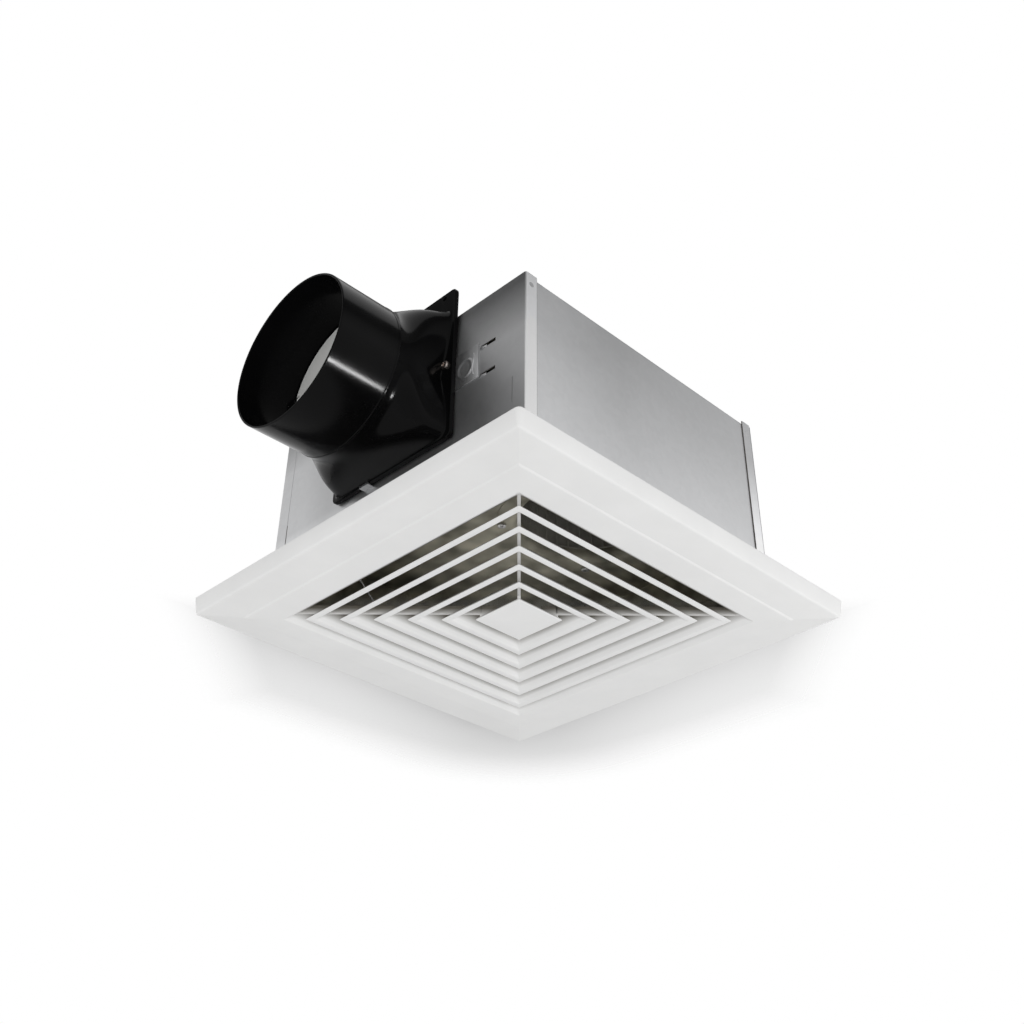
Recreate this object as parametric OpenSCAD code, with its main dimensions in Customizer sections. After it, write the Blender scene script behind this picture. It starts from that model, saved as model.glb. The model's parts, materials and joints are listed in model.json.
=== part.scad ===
// Ceiling exhaust fan: sheet-metal housing, centrifugal blower, duct adapter and drop-down grille.
// The frame's origin is the middle of the ceiling fixing, on the ceiling's lower face.
// The room is below it, +Z points up into the ceiling space, and the duct leaves along -X.

/* [Grille] */
// How far the grille's upper edge reaches past the housing's longer sides
grille_overlap = 37; // [34:0.5:40]
// Height of the rim's wall
rim_h = 14; // [12:0.5:18]
// How far the rim's wall leans in on its way down
rim_draft = 2.5; // [1:0.5:4]
// How far the louvres' lower edges lie below the rim
face_drop = 3.5; // [2:0.5:6]
// Wall of the moulding
grille_wall = 2.4; // [2:0.1:3]
// Width of the border round the louvres
border_w = 50; // [48:0.5:53]
// Distance of the face's step from the grille's upper edge
step_inset = 28; // [24:0.5:32]
// Depth of the step on the face
step_h = 0.9; // [0.5:0.1:1.2]
// Side of the centre cap
cap_w = 48; // [44:1:50]
// Width of the gap outside the outer louvre
outer_gap = 11; // [9:0.5:12]
// Number of louvre rings
louvre_count = 5; // [4:1:5]
// Height and slant of a louvre
louvre_rise = 12; // [9:0.5:13]
// Thickness of a louvre, measured level
louvre_t = 3; // [2:0.1:3.5]
// Thickness of the diagonal ribs
rib_t = 2.4; // [2:0.1:4]
// How far the grille pulls down on its springs
grille_drop = 50; // [40:1:50]

/* [Housing] */
// How much longer the housing is across the duct than along it
housing_difference = 11; // [8:0.5:14]
// Size of the housing across the duct, over its corner flanges
housing_y = 276; // [274:0.5:282]
// Height of the end panels above the ceiling
housing_h = 162; // [160:0.5:168]
// Thickness of the galvanised sheet
sheet_t = 0.8; // [0.6:0.1:1]
// Width of the corner flanges that wrap round the sides
corner_flange_w = 11; // [9:0.5:14]
// How far the end panels stand above the top sheet
panel_step = 1.6; // [1:0.1:2.4]
// Radius of the bends in the sheet
bend_r = 2; // [1.5:0.1:3]
// Thickness of the mounting frame
frame_t = 1; // [0.8:0.1:1.2]
// Width of the mounting frame outside the housing
frame_w = 18; // [16:0.5:20]
// Height of the frame's lip inside the housing
frame_lip_h = 12; // [10:0.5:13]
// Distance of the ceiling screw holes from the housing's end panels
ceiling_hole_out = 10.5; // [9:0.5:11.5]
// Distance between the ceiling screw holes across the duct
ceiling_hole_y = 200; // [180:1:220]
// Diameter of the ceiling screw holes
ceiling_hole_d = 5; // [4:0.5:6]

/* [Duct adapter] */
// Outside diameter of the duct collar
collar_d = 122; // [121:0.5:123]
// Length of the round collar
collar_len = 59.5; // [56:0.5:70]
// Length of the square-to-round part
transition_len = 37; // [32:1:42]
// Wall of the adapter
adapter_wall = 1.6; // [1.4:0.1:2]
// Height of the duct's axis above the middle of the outlet
duct_rise = 3.2; // [2:0.1:4]
// Width of the adapter's flange on each side of the outlet
flange_side = 14; // [13:0.5:15]
// Reach of the flange above the outlet
flange_high = 35.2; // [32:0.1:39]
// Reach of the flange below the outlet
flange_low = 5.8; // [5.3:0.1:6.3]
// Thickness of the flange
flange_t = 3.5; // [3:0.1:4.5]
// Distance of the damper from the collar's crease
damper_inset = 11; // [10:0.5:13]
// Distance of the damper's pin above the duct's axis
damper_pin_rise = 8; // [6:0.5:9]

/* [Blower] */
// Height of the blower's base plate above the ceiling
base_z = 56; // [55.5:0.1:56.5]
// Space between the scroll and the housing's top
scroll_head = 6.8; // [6.5:0.1:8]
// Thickness of the scroll's sheet
scroll_t = 0.8; // [0.7:0.1:1]
// Gap between the scroll and the rear panel
scroll_end_gap = 16.7; // [14:0.1:20]
// Gap between the scroll and the side wall
scroll_side_gap = 2.4; // [1.5:0.1:4]
// Diameter of the wheel
wheel_d = 132; // [128:1:134]
// Height of the scroll that the blades leave free
blade_less = 34; // [32:1:40]
// Number of blades
blade_count = 36; // [24:1:42]
// Depth of a blade, from the wheel's inside to its outside
blade_depth = 11; // [9:0.5:12]
// Diameter of the motor's case
motor_d = 76; // [70:1:78]
// Height of the motor's case
motor_h = 42; // [38:1:44]
// Diameter of the motor's shaft
shaft_d = 8; // [6:0.5:9]

/* [Hidden] */
$fn = 96;
overrun = 1;
running_gap = 0.05;
seat_gap = 0.3;
hole_gap = 0.2;

// Housing: half sizes of its faces, from the outside in
housing_x = housing_y - housing_difference;
end_x = housing_x / 2;
end_in = end_x - sheet_t;
side_y = housing_y / 2;
wrap_y = side_y - sheet_t;
side_in = wrap_y - sheet_t;
wrap_top = housing_h - panel_step;
roof_in = wrap_top - sheet_t;
seam_w = 6;
frame_gap = 0.1;
bend_clear = bend_r - sheet_t + frame_gap;
hanger_hole_d = 5;
hanger_hole_in = 10;
hanger_hole_drop = 14;
hanger_hole_y = housing_y - 2 * hanger_hole_in;
hanger_hole_z = housing_h - hanger_hole_drop;
ceiling_hole_x = housing_x + 2 * ceiling_hole_out;

// Rivets and screws
rivet_d = 3.2;
rivet_head_d = 6.4;
rivet_head_h = 1;
rivet_tail_d = 4.8;
rivet_tail_h = 1.2;
screw_d = 4;
screw_head_d = 7;
screw_head_h = 2.2;
screw_tip = 4;
frame_rivet_z = frame_lip_h / 2;
frame_lip_x = frame_gap + frame_t - end_in;
frame_lip_y = frame_gap + frame_t - side_in;
frame_rivet_share = 0.62;

// Springs: coils on the grille, legs through slots in the brackets
spring_in = 6.4;
spring_y = side_in - spring_in;
spring_z = -5.5;
wire_d = 2;
coil_r = 5;
coil_turns = 3;
leg_offset = (coil_turns - 1) * wire_d / 2;
leg_angle = 48;
leg_len = 78;
leg_hook = 7;
bracket_lift = 2.5;
bracket_z = frame_lip_h + bracket_lift;
bracket_h = 15;
bracket_t = 1;
bracket_half = 38;
bracket_slot_half = 30;
bracket_slot_w = 9;
bracket_edge = 5;
bracket_reach = spring_in + bracket_slot_w / 2 + bracket_edge;
bracket_rivet_x = 24;
bracket_rivet_z = bracket_z + bracket_h - bracket_edge;
peg_gap = 0.5;
peg_d = 2 * (coil_r - wire_d / 2 - peg_gap);
peg_head_d = 2 * (coil_r + peg_gap);
peg_tip_d = 2 * (coil_r - peg_gap);
peg_head_t = 1.5;
ear_t = 1.8;
coil_len = coil_turns * wire_d;

// Levels of the scroll and of the outlet opening in the end panel
scroll_z0 = base_z + scroll_t;
scroll_z1 = roof_in - scroll_head;
scroll_h = scroll_z1 - scroll_z0;
outlet_less = 30;
outlet_w = wheel_d - outlet_less;

// Scroll: a spiral whose radius grows from the tongue to the outlet
spiral_end_a = 90;
spiral_start_a = -190;
spiral_step = 10;
tongue_gap = 6;
tongue_in = 2;
spiral_r0 = wheel_d / 2 + tongue_gap;
spiral_r1 = outlet_w - tongue_in;
function spiral_r(a) = spiral_r0
  + (spiral_r1 - spiral_r0) * (a - spiral_start_a) / (spiral_end_a - spiral_start_a);
wheel_x = end_in - scroll_end_gap - spiral_r(0);
wheel_y = spiral_r(-90) + scroll_side_gap - side_in;
outlet_y0 = wheel_y - tongue_in;
outlet_y1 = wheel_y + spiral_r1;

// Duct adapter, from the housing outwards
duct_y = (outlet_y0 + outlet_y1) / 2;
duct_z = (scroll_z0 + scroll_z1) / 2 + duct_rise;
adapter_flange_w = outlet_w + 2 * flange_side;
flange_above = scroll_z1 - duct_z + flange_high;
flange_below = duct_z - scroll_z0 + flange_low;
gasket_t = 1;
gasket_inset = 3;
flange_x = -end_x - gasket_t;
transition_x = flange_x - flange_t;
crease_x = transition_x - transition_len;
mouth_x = crease_x - collar_len;
flange_r = 4;
box_margin = 2;
box_margin_high = 14.2;
box_margin_low = 4.8;
box_half_w = outlet_w / 2 + box_margin;
box_above = scroll_z1 - duct_z + box_margin_high;
box_below = duct_z - scroll_z0 + box_margin_low;
squareness = 12;
flare_power = 2.2;
loft_rings = 9;
loft_sides = 48;
loft_end_inset = 0.3;
adapter_screw_in = 7.5;
adapter_screw_y = adapter_flange_w / 2 - adapter_screw_in;
adapter_screw_z = 8;
top_hole_d = 4;
top_hole_y = 53;
top_hole_drop = 5;
hook_y = 24;
hook_w = 10;
hook_reach = 1;

// Damper inside the collar
damper_x = crease_x - damper_inset;
damper_z = duct_z + damper_pin_rise;
damper_gap = 1.8;
damper_t = 1.2;
damper_r = collar_d / 2 - adapter_wall - damper_gap;
pin_d = 3;
lug_d = 7;
lug_len = 5;
lug_sink = 0.3;
lug_end = collar_d / 2 - adapter_wall - lug_sink;
notch_h = 10;
flap_tube_d = 5.2;
stop_w = 10;
stop_h = 4;
stop_t = 3;

// Blower base and inlet
base_flange_h = 36;
base_gap = 0.2;
blower_screw_y = 96;
blower_screw_z = 24;
inlet_clear = 1;
inlet_r = wheel_d / 2 - blade_depth - inlet_clear;
inlet_lip_r = 7;
inlet_flange_w = 11;
inlet_reach = 3;
inlet_screw_in = 4.5;
inlet_screw_r = inlet_r + inlet_lip_r + inlet_flange_w - inlet_screw_in;
inlet_screw_count = 4;
base_hole_r = inlet_r + inlet_lip_r + seat_gap;

// Wheel, from the inlet up
ring_lift = 9;
blade_h = scroll_h - blade_less;
ring_z = scroll_z0 + ring_lift;
ring_t = 2;
blade_z = ring_z + ring_t;
back_z = blade_z + blade_h;
back_t = 1.2;
wheel_r = wheel_d / 2;
blade_in_r = wheel_r - blade_depth;
blade_t = 0.8;
blade_sweep = 62;
blade_arc_steps = 4;
dish_depth = 37;
dish_z = back_z - dish_depth;
dish_gap = 3.5;
hub_d = 20;
hub_h = 12;
nut_d = 14;
nut_h = 6.5;

// Motor, hung under the scroll's top
bush_h = 3.5;
ear_plate_t = 1.5;
motor_top = scroll_z1 - bush_h;
motor_mid = motor_top - motor_h / 2;
motor_bottom = motor_top - motor_h;
case_t = 1.2;
case_r = motor_d / 2;
ear_out = 9;
ear_r = case_r + ear_out;
ear_d = 12;
motor_ears = 3;
bush_d = 11;
bush_hole_d = 5;
motor_screw_d = 4;
core_h = 20;
core_r = case_r - case_t - seat_gap;
bore_r = 22;
air_gap = 0.5;
slot_count = 12;
slot_w = 5;
slot_depth = 9;
slot_lip = 2;
winding_h = 6;
bearing_d = 22;
bearing_h = 7;
bearing_cup_t = 1.5;
shaft_play = 0.5;
shaft_tip = 3;
shaft_top = motor_top - bearing_cup_t - shaft_play;
shaft_bottom = dish_z - hub_h - nut_h - shaft_tip;

// Junction box behind the outlet panel, with its cover outside
box_y0 = -122;
box_y1 = -70;
box_lift = 20;
box_drop = 7.6;
box_z0 = base_z + box_lift;
box_z1 = roof_in - box_drop;
box_depth = 40;
inlet_cable_in = 20;
inlet_cable_x = inlet_cable_in - end_in;
inlet_cable_y = -100;
bushing_bore_d = 16;
bushing_body_d = 21.8;
bushing_head_d = 27;
bushing_head_h = 2.4;
bushing_depth = 8;
cover_reach = 23;
cover_y0 = duct_y - adapter_flange_w / 2 - cover_reach;
cover_tuck = 2.5;
cover_drop = 30;
cover_h = 31;
cover_z1 = box_z1 - cover_drop;
cover_z0 = cover_z1 - cover_h;
cover_emboss_d = 16;
cover_emboss_h = 1.2;
cover_tongue_w = 3;
wiring_slot_w = 15;
wiring_slot_side = 2;
wiring_slot_y1 = cover_y0 - wiring_slot_side;
wiring_slot_y0 = wiring_slot_y1 - wiring_slot_w;
wiring_slot_h = 3;
wiring_slot_gap = 25.5;
wiring_slot_low_z = cover_z0;
wiring_slot_top_z = cover_z0 + wiring_slot_gap;
slit_y = -125.5;
slit_z0 = 51;
slit_z1 = 73;
slit_w = 0.8;
terminal_y = -112;
terminal_lift = 6;
terminal_z = box_z0 + terminal_lift;
terminal_size = [14, 12, 36];
terminal_count = 3;

// Capacitor on the base plate
cap_size = [48, 20, 30];
cap_x = -20;
cap_pos = [cap_x, (outlet_y1 + side_in - cap_size[1]) / 2, scroll_z0];
cap_corner_r = 3;
clamp_t = 1;
clamp_w = 14;
clamp_foot = 12;

// Lead from the motor to the junction box: a chosen route, over the scroll's top
lead_d = 3.6;
lead_sides = 8;
lead_offset = [-18, 12];
lead_exit = [wheel_x, wheel_y] + lead_offset;
lead_entry_y = -92;
lead_entry_drop = 12;
lead_entry_z = box_z1 - lead_entry_drop;
grommet_d = 12;
grommet_bore = 6.4;
grommet_groove = 1.2;

// Grille: levels of its face, from the rim to the louvres
grille_w = housing_y + 2 * grille_overlap;
opening_w = grille_w - 2 * border_w;
louvre_pitch = (opening_w / 2 - outer_gap - cap_w / 2) / louvre_count;
rim_top_half = grille_w / 2;
rim_low_half = rim_top_half - rim_draft;
face_z = -rim_h - face_drop;
step_half = grille_w / 2 - step_inset;
open_half = opening_w / 2;
step_share = 0.5;
lip_share = 0.6;
step_bevel = 1.6;
rib_top = face_z + louvre_rise;
rib_lift = 0.6;
rib_start_share = 0.35;
cap_dome = 1.2;

// Cube between two opposite corners
module block(lo, hi) translate(lo) cube(hi - lo);

// Cylinders along X and Y that start at a point
module rod_x(p, d, l) translate(p) rotate([0, 90, 0]) cylinder(d = d, h = l);
module rod_y(p, d, l) translate(p) rotate([-90, 0, 0]) cylinder(d = d, h = l);

// Rectangle with its two upper corners rounded, standing on the X axis
module arch(half, top, r) {
  translate([-half, 0]) square([2 * half, top - r]);
  translate([r - half, 0]) square([2 * (half - r), top]);
  for (side = [-1, 1]) translate([side * (half - r), top - r]) circle(r);
}

// A sheet bent to a U, as the outline of its section
module bent_sheet(half, top, t, r) difference() {
  arch(half, top, r);
  translate([0, -overrun]) arch(half - t, top - t + overrun, r - t);
}

// Places of the rivets that join the frame to the housing
frame_rivets_x = [for (side = [-1, 1]) for (v = [-1, 1]) [side, v * side_in * frame_rivet_share]];
frame_rivets_y = [for (side = [-1, 1]) for (v = [-1, 1]) [v * end_in * frame_rivet_share, side]];

module housing_wrap() color("lightgray") difference() {
  union() {
    translate([-end_in, 0, 0]) rotate([90, 0, 90])
      linear_extrude(2 * end_in) bent_sheet(wrap_y, wrap_top, sheet_t, bend_r);
    for (side = [-1, 1]) block(
      [side * (end_in - sheet_t / 2) - sheet_t / 2, bend_r - wrap_y, roof_in - seam_w],
      [side * (end_in - sheet_t / 2) + sheet_t / 2, wrap_y - bend_r, roof_in + sheet_t / 2]);
  }
  for (sx = [-1, 1]) for (sy = [-1, 1]) translate([sx * end_in, sy * wrap_y, housing_h / 2])
    cube([2 * bend_clear, 2 * bend_clear, housing_h + overrun], center = true);
  translate([inlet_cable_x, inlet_cable_y, roof_in - overrun])
    cylinder(d = bushing_body_d + 2 * hole_gap, h = sheet_t + 2 * overrun);
  for (p = frame_rivets_y)
    rod_y([p[0], p[1] * side_in - overrun, frame_rivet_z], rivet_d + 2 * hole_gap, 2 * overrun);
  for (p = frame_rivets_y)
    rod_y([p[0], p[1] * side_y - overrun, frame_rivet_z], rivet_d + 2 * hole_gap, 2 * overrun);
  for (side = [-1, 1]) for (v = [-1, 1])
    rod_y([v * bracket_rivet_x, side * wrap_y - overrun, bracket_rivet_z],
      rivet_d + 2 * hole_gap, 2 * overrun);
}

// End panel with its corner flanges wrapped round the sides
module end_panel() linear_extrude(housing_h) bent_sheet(side_y, corner_flange_w, sheet_t, bend_r);

// Holes through both end panels: frame rivets, blower screws and hanger holes
module end_panel_holes(side) {
  for (p = frame_rivets_x) if (p[0] == side)
    rod_x([side * end_x - overrun - sheet_t, p[1], frame_rivet_z], rivet_d + 2 * hole_gap,
      2 * (overrun + sheet_t));
  for (v = [-1, 1]) {
    rod_x([side * end_x - overrun - sheet_t, v * blower_screw_y, blower_screw_z],
      screw_d + 2 * hole_gap, 2 * (overrun + sheet_t));
    rod_x([side * end_x - overrun - sheet_t, v * hanger_hole_y / 2, hanger_hole_z],
      hanger_hole_d, 2 * (overrun + sheet_t));
  }
}

module outlet_panel() color("gray") {
  difference() {
    translate([corner_flange_w - end_x, 0, 0]) rotate(90) end_panel();
    end_panel_holes(-1);
    block([-end_x - overrun, outlet_y0, scroll_z0], [overrun - end_in, outlet_y1, scroll_z1]);
    for (v = [-1, 1])
      rod_x([-end_x - overrun, duct_y + v * adapter_screw_y, duct_z + adapter_screw_z],
        screw_d + 2 * hole_gap, sheet_t + 2 * overrun);
    for (z = [wiring_slot_top_z, wiring_slot_low_z])
      block([-end_x - overrun, wiring_slot_y0, z - wiring_slot_h / 2],
        [overrun - end_in, wiring_slot_y1, z + wiring_slot_h / 2]);
    block([-end_x - overrun, slit_y - slit_w / 2, slit_z0],
      [overrun - end_in, slit_y + slit_w / 2, slit_z1]);
  }
  hook_x = transition_x - sheet_t;
  hook_z = duct_z - flange_below - seat_gap;
  block([hook_x, hook_y - hook_w / 2, hook_z - sheet_t], [-end_x, hook_y + hook_w / 2, hook_z]);
  block([hook_x, hook_y - hook_w / 2, hook_z - sheet_t],
    [transition_x, hook_y + hook_w / 2, hook_z + hook_reach]);
}

module rear_panel() color("silver") difference() {
  translate([end_x - corner_flange_w, 0, 0]) rotate(-90) end_panel();
  end_panel_holes(1);
}

module mounting_frame() color("silver") difference() {
  union() {
    block([-end_x - frame_w, -side_y - frame_w, -frame_t], [end_x + frame_w, side_y + frame_w, 0]);
    block([frame_gap - end_in, frame_gap - side_in, -frame_t],
      [end_in - frame_gap, side_in - frame_gap, frame_lip_h]);
  }
  block([frame_lip_x, frame_lip_y, -frame_t - overrun],
    [-frame_lip_x, -frame_lip_y, frame_lip_h + overrun]);
  for (sx = [-1, 1]) for (sy = [-1, 1])
    translate([sx * ceiling_hole_x / 2, sy * ceiling_hole_y / 2, -frame_t - overrun])
      cylinder(d = ceiling_hole_d, h = frame_t + 2 * overrun);
  for (p = frame_rivets_x)
    rod_x([p[0] * end_in - overrun - frame_t, p[1], frame_rivet_z],
      rivet_d + 2 * hole_gap, 2 * (overrun + frame_t));
  for (p = frame_rivets_y)
    rod_y([p[0], p[1] * side_in - overrun - frame_t, frame_rivet_z],
      rivet_d + 2 * hole_gap, 2 * (overrun + frame_t));
}

// Rivet along +Z: its head starts at zero and its tail closes over the grip
module rivet(grip) {
  translate([0, 0, -rivet_head_h]) cylinder(d = rivet_head_d, h = rivet_head_h);
  cylinder(d = rivet_d, h = grip);
  translate([0, 0, grip]) cylinder(d = rivet_tail_d, h = rivet_tail_h);
}

module frame_rivets() color("darkgray") {
  for (p = frame_rivets_x) translate([-p[0] * frame_lip_x, p[1], frame_rivet_z])
    rotate([0, p[0] * 90, 0]) rivet(frame_t + frame_gap + sheet_t);
  for (p = frame_rivets_y) translate([p[0], -p[1] * frame_lip_y, frame_rivet_z])
    rotate([-p[1] * 90, 0, 0]) rivet(frame_t + frame_gap + sheet_t);
  for (side = [-1, 1]) for (v = [-1, 1])
    translate([v * bracket_rivet_x, side * (side_in - bracket_t), bracket_rivet_z])
      rotate([-side * 90, 0, 0]) rivet(bracket_t + sheet_t);
}

// Slotted bracket on each side wall, for the legs of a grille spring
module spring_brackets() color("silver") for (side = [0, 180]) rotate(side) difference() {
  union() {
    block([-bracket_half, -side_in, bracket_z],
      [bracket_half, bracket_t - side_in, bracket_z + bracket_h]);
    block([-bracket_half, -side_in, bracket_z],
      [bracket_half, bracket_reach - side_in, bracket_z + bracket_t]);
  }
  block([-bracket_slot_half, -spring_y - bracket_slot_w / 2, bracket_z - overrun],
    [bracket_slot_half, bracket_slot_w / 2 - spring_y, bracket_z + bracket_t + overrun]);
  for (v = [-1, 1]) rod_y([v * bracket_rivet_x, -side_in - overrun, bracket_rivet_z],
    rivet_d + 2 * hole_gap, bracket_t + 2 * overrun);
}

module junction_box() color("silver") difference() {
  block([-end_in, box_y0, box_z0], [box_depth - end_in, box_y1, box_z1]);
  block([-end_in - overrun, box_y0 + sheet_t, box_z0 + sheet_t],
    [box_depth - end_in - sheet_t, box_y1 - sheet_t, box_z1 - sheet_t]);
  translate([inlet_cable_x, inlet_cable_y, box_z1 - sheet_t - overrun])
    cylinder(d = bushing_body_d + 2 * hole_gap, h = sheet_t + 2 * overrun);
  rod_x([box_depth - end_in - sheet_t - overrun, lead_entry_y, lead_entry_z],
    grommet_d - 2 * grommet_groove + 2 * hole_gap, sheet_t + 2 * overrun);
}

// Cover outside the panel: its end tucks under the side of the adapter's flange
module wiring_cover() color("gray") {
  mid_z = (cover_z0 + cover_z1) / 2;
  edge_y = duct_y - adapter_flange_w / 2 - seat_gap;
  block([-end_x - sheet_t, cover_y0, cover_z0], [-end_x, edge_y + cover_tuck, cover_z1]);
  rod_x([-end_x - sheet_t - cover_emboss_h, edge_y - cover_emboss_d / 2 - cover_emboss_h, mid_z],
    cover_emboss_d, cover_emboss_h);
  block([-end_x - 2 * sheet_t, cover_y0, cover_z0 + cover_emboss_d / 2],
    [-end_x - sheet_t, cover_y0 + cover_tongue_w, cover_z1 - cover_emboss_d / 2]);
}

module terminal_block() color("ivory") difference() {
  translate([-end_in + box_depth - sheet_t - terminal_size[0], terminal_y, terminal_z])
    cube(terminal_size);
  for (k = [0 : terminal_count - 1])
    rod_x([-end_in + box_depth - sheet_t - terminal_size[0] - overrun,
      terminal_y + terminal_size[1] / 2,
      terminal_z + (k + 0.5) * terminal_size[2] / terminal_count],
      screw_d + 2 * hole_gap, terminal_size[0] / 2 + overrun);
}

module terminal_screws() color("gold") for (k = [0 : terminal_count - 1])
  rod_x([-end_in + box_depth - sheet_t - terminal_size[0],
    terminal_y + terminal_size[1] / 2,
    terminal_z + (k + 0.5) * terminal_size[2] / terminal_count],
    screw_d, terminal_size[0] / 2);

module cable_bushing() color("black") translate([inlet_cable_x, inlet_cable_y, wrap_top])
  difference() {
    union() {
      cylinder(d = bushing_head_d, h = bushing_head_h);
      translate([0, 0, -bushing_depth - overrun])
        cylinder(d = bushing_body_d, h = bushing_depth + overrun);
    }
    translate([0, 0, -bushing_depth - 2 * overrun])
      cylinder(d = bushing_bore_d, h = bushing_depth + bushing_head_h + 4 * overrun);
  }

// Duct adapter: flange, square-to-round part and round collar.
// The section's sides bulge from nearly square to round, with a flare towards the flange.
function loft_s(k) = k / (loft_rings - 1);
function loft_n(s) = 2 + squareness * pow(1 - s, flare_power);
function loft_mix(a, b, s) = a + (b - a) * s;
function loft_r(a, w, h, n) =
  1 / pow(pow(abs(cos(a)) / w, n) + pow(abs(sin(a)) / h, n), 1 / n);
function loft_point(k, j, wall) = let (
  s = loft_s(k),
  a = 360 * j / loft_sides,
  end_r = collar_d / 2 - loft_end_inset,
  r = loft_r(a, loft_mix(box_half_w, end_r, s) - wall,
    loft_mix(a > 180 ? box_below : box_above, end_r, s) - wall, loft_n(s))
) [transition_x - s * transition_len, duct_y + r * cos(a), duct_z + r * sin(a)];
loft_points = concat(
  [for (k = [0 : loft_rings - 1]) for (j = [0 : loft_sides - 1]) loft_point(k, j, 0)],
  [for (k = [0 : loft_rings - 1]) for (j = [0 : loft_sides - 1])
    loft_point(k, j, adapter_wall - 2 * loft_end_inset)]);
function loft_id(shell, k, j) = (shell * loft_rings + k) * loft_sides + j % loft_sides;
loft_faces = concat(
  [for (k = [0 : loft_rings - 2]) for (j = [0 : loft_sides - 1]) for (half = [0, 1])
    half == 0 ? [loft_id(0, k, j), loft_id(0, k, j + 1), loft_id(0, k + 1, j + 1)]
              : [loft_id(0, k, j), loft_id(0, k + 1, j + 1), loft_id(0, k + 1, j)]],
  [for (k = [0 : loft_rings - 2]) for (j = [0 : loft_sides - 1]) for (half = [0, 1])
    half == 0 ? [loft_id(1, k, j), loft_id(1, k + 1, j + 1), loft_id(1, k, j + 1)]
              : [loft_id(1, k, j), loft_id(1, k + 1, j), loft_id(1, k + 1, j + 1)]],
  [for (j = [0 : loft_sides - 1]) for (half = [0, 1])
    half == 0 ? [loft_id(0, 0, j), loft_id(1, 0, j), loft_id(1, 0, j + 1)]
              : [loft_id(0, 0, j), loft_id(1, 0, j + 1), loft_id(0, 0, j + 1)]],
  [for (j = [0 : loft_sides - 1]) for (half = [0, 1])
    half == 0 ? [loft_id(0, loft_rings - 1, j), loft_id(1, loft_rings - 1, j + 1),
                 loft_id(1, loft_rings - 1, j)]
              : [loft_id(0, loft_rings - 1, j), loft_id(0, loft_rings - 1, j + 1),
                 loft_id(1, loft_rings - 1, j + 1)]]);

module adapter_plate(inset, t) difference() {
  lo = [duct_y - adapter_flange_w / 2 + inset, duct_z - flange_below + inset];
  hi = [duct_y + adapter_flange_w / 2 - inset, duct_z + flange_above - inset];
  rotate([90, 0, 90]) linear_extrude(t) {
    translate(lo + [flange_r, 0]) square(hi - lo - [2 * flange_r, 0]);
    translate(lo + [0, flange_r]) square(hi - lo - [0, 2 * flange_r]);
    for (y = [lo[0] + flange_r, hi[0] - flange_r]) for (z = [lo[1] + flange_r, hi[1] - flange_r])
      translate([y, z]) circle(flange_r);
  }
  block([-overrun, outlet_y0, scroll_z0], [t + overrun, outlet_y1, scroll_z1]);
  for (v = [-1, 1]) {
    rod_x([-overrun, duct_y + v * adapter_screw_y, duct_z + adapter_screw_z],
      screw_d + 2 * hole_gap, t + 2 * overrun);
    rod_x([-overrun, duct_y + v * top_hole_y, duct_z + flange_above - top_hole_drop],
      top_hole_d, t + 2 * overrun);
  }
}

module duct_adapter() color([0.05, 0.05, 0.05]) {
  translate([transition_x, 0, 0]) adapter_plate(0, flange_t);
  polyhedron(points = loft_points, faces = loft_faces);
  difference() {
    rod_x([mouth_x, duct_y, duct_z], collar_d, collar_len);
    rod_x([mouth_x - overrun, duct_y, duct_z], collar_d - 2 * adapter_wall,
      collar_len + 2 * overrun);
  }
  for (side = [-1, 1]) translate([damper_x, duct_y, damper_z]) rotate([-side * 90, 0, 0])
    difference() {
      translate([0, 0, lug_end - lug_len]) cylinder(d = lug_d, h = lug_len);
      translate([0, 0, lug_end - lug_len - overrun])
        cylinder(d = pin_d + 2 * running_gap, h = lug_len + overrun - adapter_wall / 2);
    }
  stop_z = duct_z - collar_d / 2 + adapter_wall / 2;
  block([damper_x + damper_t / 2 + seat_gap, duct_y - stop_w / 2, stop_z],
    [damper_x + damper_t / 2 + seat_gap + stop_t, duct_y + stop_w / 2, stop_z + stop_h]);
}

module adapter_gasket() color("dimgray") translate([flange_x, 0, 0])
  intersection() {
    adapter_plate(gasket_inset, gasket_t);
    block([0, -side_in, 0], [gasket_t, side_in, wrap_top]);
  }

// Pan-head screw along +Z, whose head stands on the surface at zero
module pan_screw(l) {
  translate([0, 0, -screw_head_h]) cylinder(d = screw_head_d, h = screw_head_h);
  cylinder(d = screw_d, h = l);
}

module adapter_screws() color("rosybrown") for (v = [-1, 1])
  translate([transition_x, duct_y + v * adapter_screw_y, duct_z + adapter_screw_z])
    rotate([0, 90, 0]) pan_screw(flange_t + gasket_t + sheet_t + screw_tip);

module damper_flap() color("gainsboro") translate([damper_x, duct_y, 0]) difference() {
  union() {
    difference() {
      rod_x([-damper_t / 2, 0, duct_z], 2 * damper_r, damper_t);
      for (side = [-1, 1]) translate([0, side * damper_r, damper_z])
        cube([4 * damper_t, 2 * (damper_r - lug_end + lug_len + damper_gap), notch_h],
          center = true);
    }
    rod_y([0, lug_len + damper_gap - lug_end, damper_z], flap_tube_d,
      2 * (lug_end - lug_len - damper_gap));
  }
  rod_y([0, -damper_r, damper_z], pin_d + 2 * running_gap, 2 * damper_r);
}

module damper_pin() color("silver")
  rod_y([damper_x, duct_y - lug_end + adapter_wall, damper_z], pin_d,
    2 * (lug_end - adapter_wall));

// Inside outline of the scroll, closed past the outlet
function scroll_outline(outlet_x) = concat(
  [[outlet_x, outlet_y1]],
  [for (a = [spiral_end_a : -spiral_step : spiral_start_a])
    [wheel_x + spiral_r(a) * cos(a), wheel_y + spiral_r(a) * sin(a)]],
  [[outlet_x, outlet_y0]]);

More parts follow.
